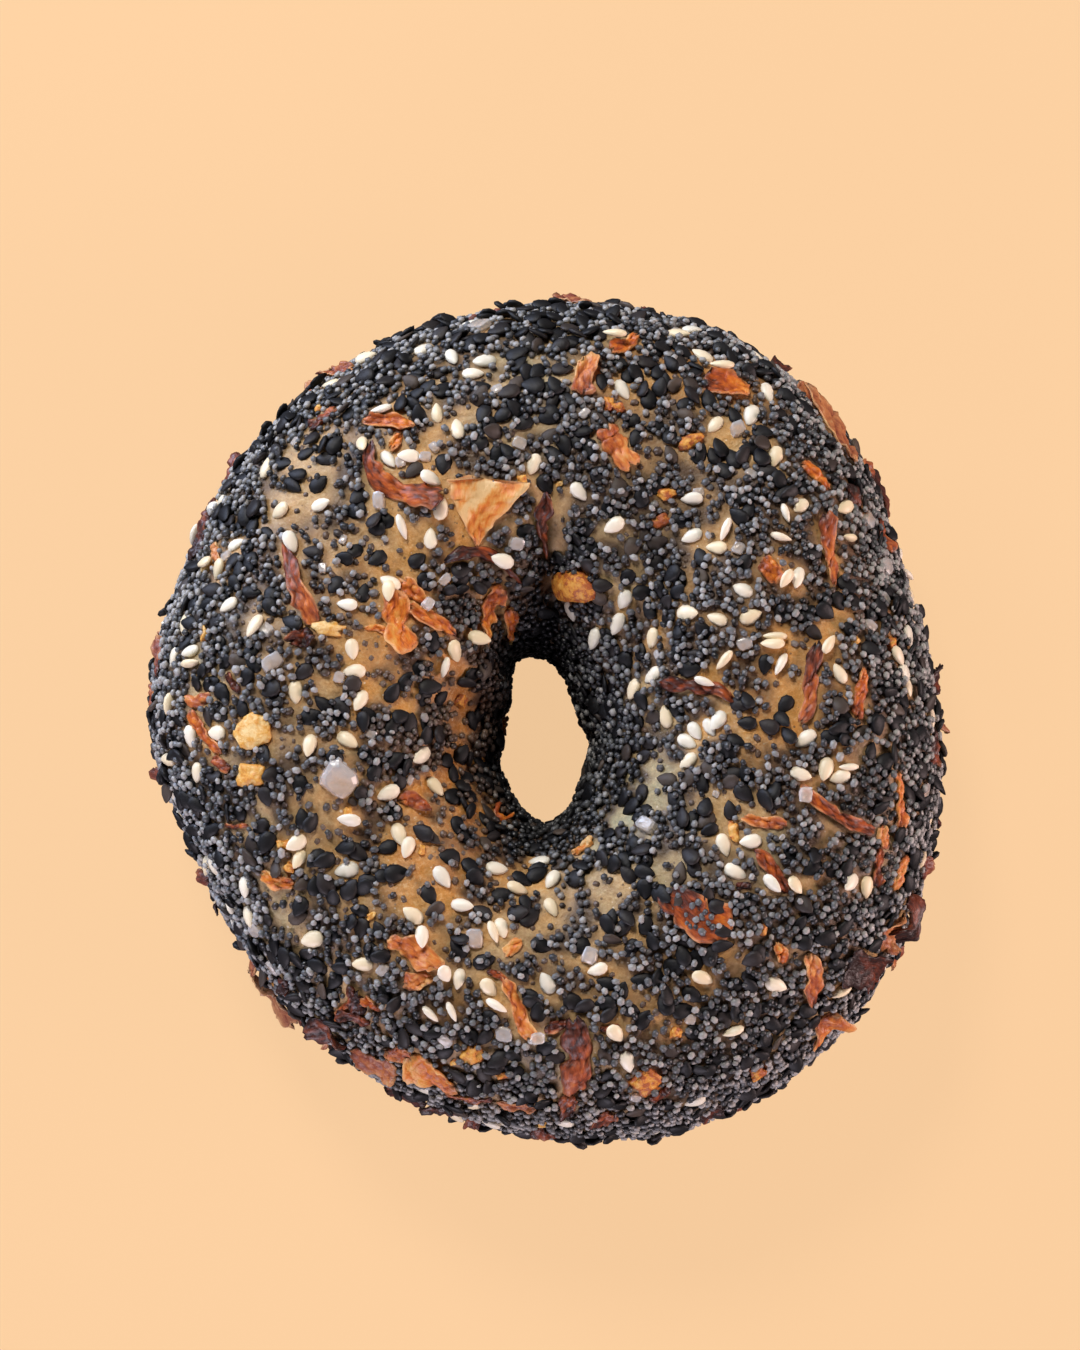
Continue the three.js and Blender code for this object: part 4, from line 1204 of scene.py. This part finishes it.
def settle(foot, normal, along, length, width, sunk):
    """Height and slopes at which a flat seed rests on the crust and on what lies there already.

    Each ball that stands for it has a least height. The slopes follow the ends and the sides, up to
    LEAN, and the height is then the least that keeps every ball at or above its own.
    """
    aside = np.cross(normal, along)
    offsets = BALL_PLACES * (length, width)
    places = foot + offsets[:, :1] * along + offsets[:, 1:] * aside
    needs = np.array([rise_over(p, normal, BALL_RADIUS) for p in places])
    needs = np.maximum(needs, sunk)
    pitch = np.clip((needs[1] - needs[2]) / (offsets[1, 0] - offsets[2, 0]), -LEAN, LEAN)
    roll = np.clip((needs[3] - needs[4]) / (offsets[3, 1] - offsets[4, 1]), -LEAN, LEAN)
    tilt = pitch * offsets[:, 0] + roll * offsets[:, 1]
    height = (needs - tilt).max()
    return height, pitch, roll, places + (height + tilt)[:, None] * normal


def scatter_seeds(feet, normals, headings, sizes, sunk, kicks, pile, limit, wanted=0):
    """Lays seeds one by one, skipping those that would stand higher than the pile allows.

    The wanted seeds, which come first, are pressed down to it instead. A kick is a slope added to a
    seed's own, which lifts its blunt end off the bed.
    """
    kept, axes, middles = [], [], []
    turned = frames(normals, headings)
    for k in range(len(feet)):
        if len(kept) >= limit:
            break
        along, _, normal = turned[k].T
        height, pitch, roll, balls = settle(feet[k], normal, along, *sizes[k, :2], sunk[k])
        if height > pile[k] and k >= wanted:
            continue
        pressed = min(height, pile[k])
        lay(np.column_stack([balls + (pressed - height) * normal, np.full(len(balls), BALL_RADIUS)]))
        height, pitch = pressed, pitch + kicks[k]
        height = height + KICK_LIFT * abs(kicks[k]) * sizes[k, 0]
        leaning = unit(normal - pitch * along - roll * np.cross(normal, along))
        forward = unit(along - (along @ leaning) * leaning)
        kept.append(k)
        middles.append(feet[k] + height * normal)
        axes.append(np.stack([forward, np.cross(leaning, forward), leaning], axis=-1))
    return np.array(kept), np.array(axes), np.array(middles)


listed = np.array(WHITE + WHITE_ON_EDGE)
rows, columns = np.array([seen_at(x, y) for x, y, _ in listed]).T
more = np.array(spots(WHITE_TRIES))
feet, normals = on_skin(*more)
more = more[:, (normals[:, 2] < WHITE_STEEP) & (np.hypot(feet[:, 0], feet[:, 1]) > OUTSIDE)]
feet, normals = on_skin(np.concatenate([rows, more[0]]), np.concatenate([columns, more[1]]))
count = len(feet)
is_listed = np.arange(count) < len(listed)
sizes = seed_sizes(count, WHITE_LENGTH, WHITE_SHAPE)
on_edge = draw.uniform(size=count) < STOOD_UP
on_edge[is_listed] = np.arange(len(listed)) >= len(WHITE)
sizes[on_edge] = sizes[on_edge][:, [0, 2, 1]] * SQUEEZED
headings = np.concatenate([np.radians(listed[:, 2]), draw.uniform(0, TURN, count - len(listed))])
sunk = draw.uniform(*WHITE_SUNK, count) + SUNK_ON_EDGE * on_edge
kicks = draw.normal(0.0, WHITE_KICK, count)
pile = WHITE_PILE[0] + is_listed * smooth(2 * normals[:, 2]) * WHITE_PILE[1]
kept, axes, middles = scatter_seeds(
    feet, normals, headings, sizes, sunk, kicks, pile, len(listed) + MORE_WHITE, len(listed),
)
for shift in (-0.3, 0.0, 0.3):
    over = middles + CLEARANCE * axes[:, :, 2] + shift * sizes[kept, :1] * axes[:, :, 0]
    clear.append(np.column_stack([over, np.full(len(over), 2 * BALL_RADIUS)]))

# Hulled sesame: cream, with a few toasted ones.
white_finish, tree = finish_of("hulled_white_sesame")
place = add(tree, "TexCoord").outputs["Object"]
tone = add(tree, "Attribute", attribute_name="tone").outputs["Fac"]
cloud = add(tree, "TexNoise", {"Vector": place, "Scale": METRE / 1.6, "Detail": 2.0})
mixed = add(tree, "Math", {0: cloud, 1: 0.35, 2: tone}, operation="MULTIPLY_ADD")
cream = add(tree, "ValToRGB", {"Fac": mixed}, [(0.1, "E4DFCC"), (0.5, "F4EBD4"), (1.0, "EFDDB6")])
shader = add(tree, "BsdfPrincipled", {"Base Color": cream, "Roughness": 0.38})
add(tree, "OutputMaterial", {"Surface": shader})

white_bodies = placed(drops(sizes[kept], SEED_STEPS, hollow=0.10, sharpness=0.5), axes, middles)
white_marks = {"tone": draw.uniform(0, 1, len(kept))}
sprinkle("white_sesame", white_bodies, SEED_STEPS, white_finish, white_marks)

# ---- Black sesame -------------------------------------------------------------------------------
# Unhulled sesame: flatter and broader drops than the white ones, matt, with faces slightly hollow
# inside a raised rim. They lie in loose clusters, some over others, thickest on the sides.

BLACK_COUNT = 2500
BLACK_TRIES = 15000
BLACK_LENGTH = (3.0, 0.2)  # mean and spread
BLACK_SHAPE = ([1.0, 0.72, 0.36], [0.0, 0.05, 0.03])  # mean and spread of its sizes, as shares
BLACK_SUNK = (-0.05, 0.3)
BLACK_KICK = 0.12  # doubled on the outer sides
BLACK_PILE = (0.70, 0.45)  # how high a seed may lie, and what is added on the outer sides
BLACK_STEPS = (4, 8)
CLUSTERS = (0.14, 7.0, 21)  # how far their crowding varies, over what length, and its seed
BLACK_CROWD = 0.43  # share of the tries that are laid, on a plain crown
LEAST_CROWD = 0.06
CROWDED_SIDES = 0.20
CROWDED_END = (0.3, 32.0, 15.0)  # more towards the far end: how much, from what y, over what length
THINNED_PATCH = 0.32  # less on a bare patch
THINNED_UNDER = 0.85  # share that the underside lacks


def steep(normals):
    """0 where the crust faces up, and 1 where it is almost upright or faces down."""
    return smooth(1.25 - normals[..., 2] * 1.25)


lay(np.concatenate(clear))
feet, normals = on_skin(*spots(BLACK_TRIES))
side = steep(normals)
under = smooth(-1.3 * normals[:, 2])
bare, _ = patchwork(feet, normals)
strength, wavelength, seed = CLUSTERS
more, start, run = CROWDED_END
crowd = BLACK_CROWD + strength * swell(feet, wavelength, seed) + CROWDED_SIDES * side
crowd = crowd + more * smooth((feet[:, 1] - start) / run) - THINNED_PATCH * np.minimum(bare, 1)
crowd = np.clip(crowd, LEAST_CROWD, 1) * (1 - THINNED_UNDER * under)
chosen = draw.uniform(size=BLACK_TRIES) < crowd
feet, normals = feet[chosen], normals[chosen]
outer_side = side[chosen] * ((feet * normals)[:, :2].sum(axis=1) > 0)
sizes = seed_sizes(len(feet), BLACK_LENGTH, BLACK_SHAPE)
headings = draw.uniform(0, TURN, len(feet))
sunk = draw.uniform(*BLACK_SUNK, len(feet))
kicks = draw.normal(0.0, BLACK_KICK, len(feet)) * (1 + outer_side)
pile = BLACK_PILE[0] + BLACK_PILE[1] * outer_side
kept, axes, middles = scatter_seeds(feet, normals, headings, sizes, sunk, kicks, pile, BLACK_COUNT)

# Black sesame: a matt dark hull with a faint sheen; some seeds are worn to brown or grey.
black_finish, tree = finish_of("unhulled_black_sesame")
place = add(tree, "TexCoord").outputs["Object"]
tone = add(tree, "Attribute", attribute_name="tone").outputs["Fac"]
hull = add(
    tree, "ValToRGB", {"Fac": tone}, [(0.0, "0A0A0C"), (0.6, "131315"), (0.88, "241F1E"), (1.0, "54483E")],
)
pits = add(tree, "TexNoise", {"Vector": place, "Scale": METRE / 0.35, "Detail": 2.0})
pitted = add(tree, "Bump", {"Height": pits, "Strength": 0.5, "Distance": 0.08 / METRE})
shader = add(
    tree, "BsdfPrincipled",
    {"Base Color": hull, "Roughness": 0.56, "Normal": pitted, "Specular IOR Level": 0.35},
)
add(tree, "OutputMaterial", {"Surface": shader})

black_bodies = placed(drops(sizes[kept], BLACK_STEPS, hollow=0.45, sharpness=0.6), axes, middles)
black_marks = {"tone": draw.uniform(0, 1, len(kept))}
sprinkle("black_sesame", black_bodies, BLACK_STEPS, black_finish, black_marks)

# ---- Poppy seed ---------------------------------------------------------------------------------
# Slate-blue poppy seeds, about 1.1 mm across and slightly kidney shaped. They fill what is left
# between the other toppings: in touching clusters on the crown, and all over on the sides.

POPPY_STEPS = (2, 5)
POPPY_RADIUS = (0.49, 0.12)  # its mean, and its spread as a share of that
POPPY_SHAPE = ([1.0, 0.88, 0.84], [1.3, 1.1, 1.0])  # least and most of its sizes, as shares
POPPY_BEND = 0.18
POPPY_SUNK = (-0.6, 0.5)  # least height of its middle over the crust, as shares of its radius
POPPY_TRIES = 240000
POPPY_LEAST = 0.035  # share of the tries that stay where the crust is bare
POPPY_CROWD = 0.72  # crowding on a plain crown
DRIFT_SEED = 31
DRIFTS = [  # wavelength, height
    (13.0, 0.20),
    (4.6, 0.36),
    (2.1, 0.40),
]
THICKER_RIGHT = (0.16, 0.4, 50.0)  # more at this distance to the right, with this share of y added
PATCH_CLEARING = 1.05
SIDE_COVER = 1.2
POPPY_PILE = (0.62, 0.25, 0.10)  # how high a seed may lie, and what is added in crowds and on the sides
DUST_AND_SHADE_PASSES = (20, 1)  # how often the count of seeds is averaged round the ring and round the rope
DARKEST_SEED_CROWDING = 1.0  # seeds to a square millimetre, where the crust between them is painted darkest
CREASE_SHADE = 0.7  # what the deepest crease adds to the painted shade

# A seed's tone goes from 0, dark, to 1, pale, and its film of dough from 0 to 1.
POPPY_TONE = (0.50, 0.33)  # mean and spread
TONE_BY_HEIGHT = (0.3, 0.4)  # what each millimetre over this height adds
PAINTED_HOLE_SHADE = (-0.36, 0.26)  # painted shade that the wall of the hole adds, and the painted light that its right side adds back
# Painted shade in the creases, and painted light on the outer sides.
PAINTED_SEAM_SHADE = -0.9
PAINTED_OUTER_LIGHT = 0.34
POPPY_FILM = (0.60, 0.12)  # mean at the crust, and spread
FILM_BY_HEIGHT = -1.6
FILM_BY_TOAST = (0.7, 0.5)  # what toast past this adds
HOLE_FILM = (0.2, 0.3)  # what the wall of the hole adds, and what its left side adds to that, partly as painted warm light
# More film on the left wall of the hole where it faces inwards, partly as painted warm light.
INNER_LEFT_FILM_AND_LIGHT = 0.35
MOST_FILM = 0.85
CLEANER_OUTSIDE = 0.7  # share of its film that a seed on an outer side lacks


def seeding(points, normals, bare):
    """How thickly small seed lies, 0 to 1: in drifts on the crown, and thinly where it is bare.

    It is a sum of slow noises, more on the sides and to the right, less on the patches, and much less
    on the underside.
    """
    drift = sum(h * swell(points, wavelength, DRIFT_SEED) for wavelength, h in DRIFTS)
    more, lean, distance = THICKER_RIGHT
    drift = drift + more * (points[..., 0] + lean * points[..., 1]) / distance
    cover = np.clip(POPPY_CROWD + drift - PATCH_CLEARING * bare + SIDE_COVER * steep(normals), 0, 1)
    return cover * (1 - THINNED_UNDER * smooth(-1.4 * normals[..., 2]))


rows, columns = spots(POPPY_TRIES)
feet, normals = on_skin(rows, columns)
bare, toast = patchwork(feet, normals)
crowd = seeding(feet, normals, bare)
chosen = draw.uniform(size=POPPY_TRIES) < np.maximum(crowd**2, POPPY_LEAST)
rows, columns, feet, normals, crowd, toast = (
    values[chosen] for values in (rows, columns, feet, normals, crowd, toast)
)
side = steep(normals)
radii = POPPY_RADIUS[0] * draw.normal(1.0, POPPY_RADIUS[1], len(feet))
sunk = radii * draw.uniform(*POPPY_SUNK, len(feet))
pile = POPPY_PILE[0] + POPPY_PILE[1] * crowd + POPPY_PILE[2] * side
kept, heights = [], []
for k, (foot, normal) in enumerate(zip(feet.tolist(), normals.tolist())):
    height = max(sunk[k], rise_over(foot, normal, radii[k]))
    if height > pile[k]:
        continue
    kept.append(k)
    heights.append(height)
    lay([[*(foot[i] + height * normal[i] for i in range(3)), radii[k]]])
rows, columns, feet, normals, toast, side, radii = (
    values[kept] for values in (rows, columns, feet, normals, toast, side, radii)
)
heights = np.array(heights)

# The dust that the seeds leave on the crust, and the painted shade between them: their count on each
# face, blurred, over its area, with painted shade added along the deep crease.
seed_count = np.zeros(CRUST_STEPS)
np.add.at(seed_count, (rows.astype(int), columns.astype(int)), 1)
spread_area = face_areas.reshape(CRUST_STEPS)
for axis in [0] * DUST_AND_SHADE_PASSES[0] + [1] * DUST_AND_SHADE_PASSES[1]:
    seed_count, spread_area = (
        (np.roll(grid, -1, axis) + grid + np.roll(grid, 1, axis)) / 3 for grid in (seed_count, spread_area)
    )
creased = seam_depth(crust_grid[..., 0], crust_grid[..., 1]) / SEAMS[0][2]
seed_dust_and_shade = np.clip(seed_count / spread_area / DARKEST_SEED_CROWDING + CREASE_SHADE * creased, 0, 1)
attribute = crust.data.attributes.new("seed_dust_and_shade", "FLOAT", "POINT")
attribute.data.foreach_set("value", seed_dust_and_shade.astype(np.float32).ravel())


def kernels(radii):
    """Small kidney-shaped seeds: spheres, a little long and flat, bent so that one side is hollow."""
    rings, points = POPPY_STEPS
    p = np.linspace(0, math.pi, rings + 2)[1:-1, None]
    twist = np.arange(rings)[:, None] * math.pi / points
    turn = np.linspace(0, TURN, points, endpoint=False)[None, :] + twist
    body = np.stack([np.cos(p) + 0 * turn, np.sin(p) * np.cos(turn), np.sin(p) * np.sin(turn)], axis=-1)
    body = np.concatenate([body.reshape(-1, 3), [[1.0, 0, 0], [-1.0, 0, 0]]])
    body[:, 1] += POPPY_BEND * body[:, 0] ** 2
    scale = radii[:, None] * draw.uniform(*POPPY_SHAPE, (len(radii), 3))
    return body[None] * scale[:, None]


poppy_bodies = kernels(radii)
axes = frames(normals, draw.uniform(0, TURN, len(feet)))
poppy_bodies = placed(poppy_bodies, axes, feet + heights[:, None] * normals)

# Seeds on the wall of the hole and in the creases are painted darker, as painted shade, less so on the
# hole's right wall, and those on the outer sides are painted paler, as painted light; the outer ones are
# also cleaner. A seed that is sunk in toasted crust has the thickest film, and those on the left wall of
# the hole take more, partly as painted warm light.
radius = np.hypot(feet[:, 0], feet[:, 1])
outward_facing = (feet * normals)[:, :2].sum(axis=1) / radius
rightward = feet[:, 0] / radius
leftward = np.maximum(-rightward, 0)
in_hole = smooth(-2.2 * outward_facing - 0.7)
in_seam = seam_depth(*feet[:, :2].T) / SEAMS[0][2]
outer_side = side * (outward_facing > 0)
tone = draw.normal(*POPPY_TONE, len(feet)) + TONE_BY_HEIGHT[0] * (heights - TONE_BY_HEIGHT[1])
tone = tone + (PAINTED_HOLE_SHADE[1] * rightward + PAINTED_HOLE_SHADE[0]) * in_hole
tone = np.clip(tone + PAINTED_SEAM_SHADE * in_seam + PAINTED_OUTER_LIGHT * outer_side, 0, 1)
film = POPPY_FILM[0] + FILM_BY_HEIGHT * heights + draw.normal(0, POPPY_FILM[1], len(feet))
film = film + FILM_BY_TOAST[0] * (toast - FILM_BY_TOAST[1])
film = film + (HOLE_FILM[0] + HOLE_FILM[1] * leftward) * in_hole
film = film + INNER_LEFT_FILM_AND_LIGHT * leftward * smooth(-3 * outward_facing)
film = np.clip(film, 0, MOST_FILM) * (1 - CLEANER_OUTSIDE * outer_side)

# Poppy seed: a dull slate skin with a fine net. Where it is sunk, a film of dough browns it.
poppy_finish, tree = finish_of("slate_poppy_seed")
place = add(tree, "TexCoord").outputs["Object"]
pale = add(tree, "Attribute", attribute_name="tone").outputs["Fac"]
coated = add(tree, "Attribute", attribute_name="film").outputs["Fac"]
slate = add(
    tree, "ValToRGB", {"Fac": pale}, [(0.0, "1A1B1D"), (0.35, "3C3D3F"), (0.7, "686A6B"), (1.0, "A3A19D")],
)
filmed = add(tree, "Mix", {FACTOR: coated, FIRST: slate, SECOND: "6A5442"}, data_type="RGBA")
net = add(tree, "TexVoronoi", {"Vector": place, "Scale": METRE / 0.28})
netted = add(tree, "Bump", {"Height": net, "Strength": 0.5, "Distance": 0.06 / METRE})
shader = add(tree, "BsdfPrincipled", {"Base Color": filmed, "Roughness": 0.38, "Normal": netted})
add(tree, "OutputMaterial", {"Surface": shader})

# They are too many for one piece, so they are split at their middle height.
upper = feet[:, 2] > np.median(feet[:, 2])
for name, chosen in (("poppy_seed_lower", ~upper), ("poppy_seed_upper", upper)):
    poppy_marks = {"tone": tone[chosen], "film": film[chosen]}
    sprinkle(name, poppy_bodies[chosen], POPPY_STEPS, poppy_finish, poppy_marks)
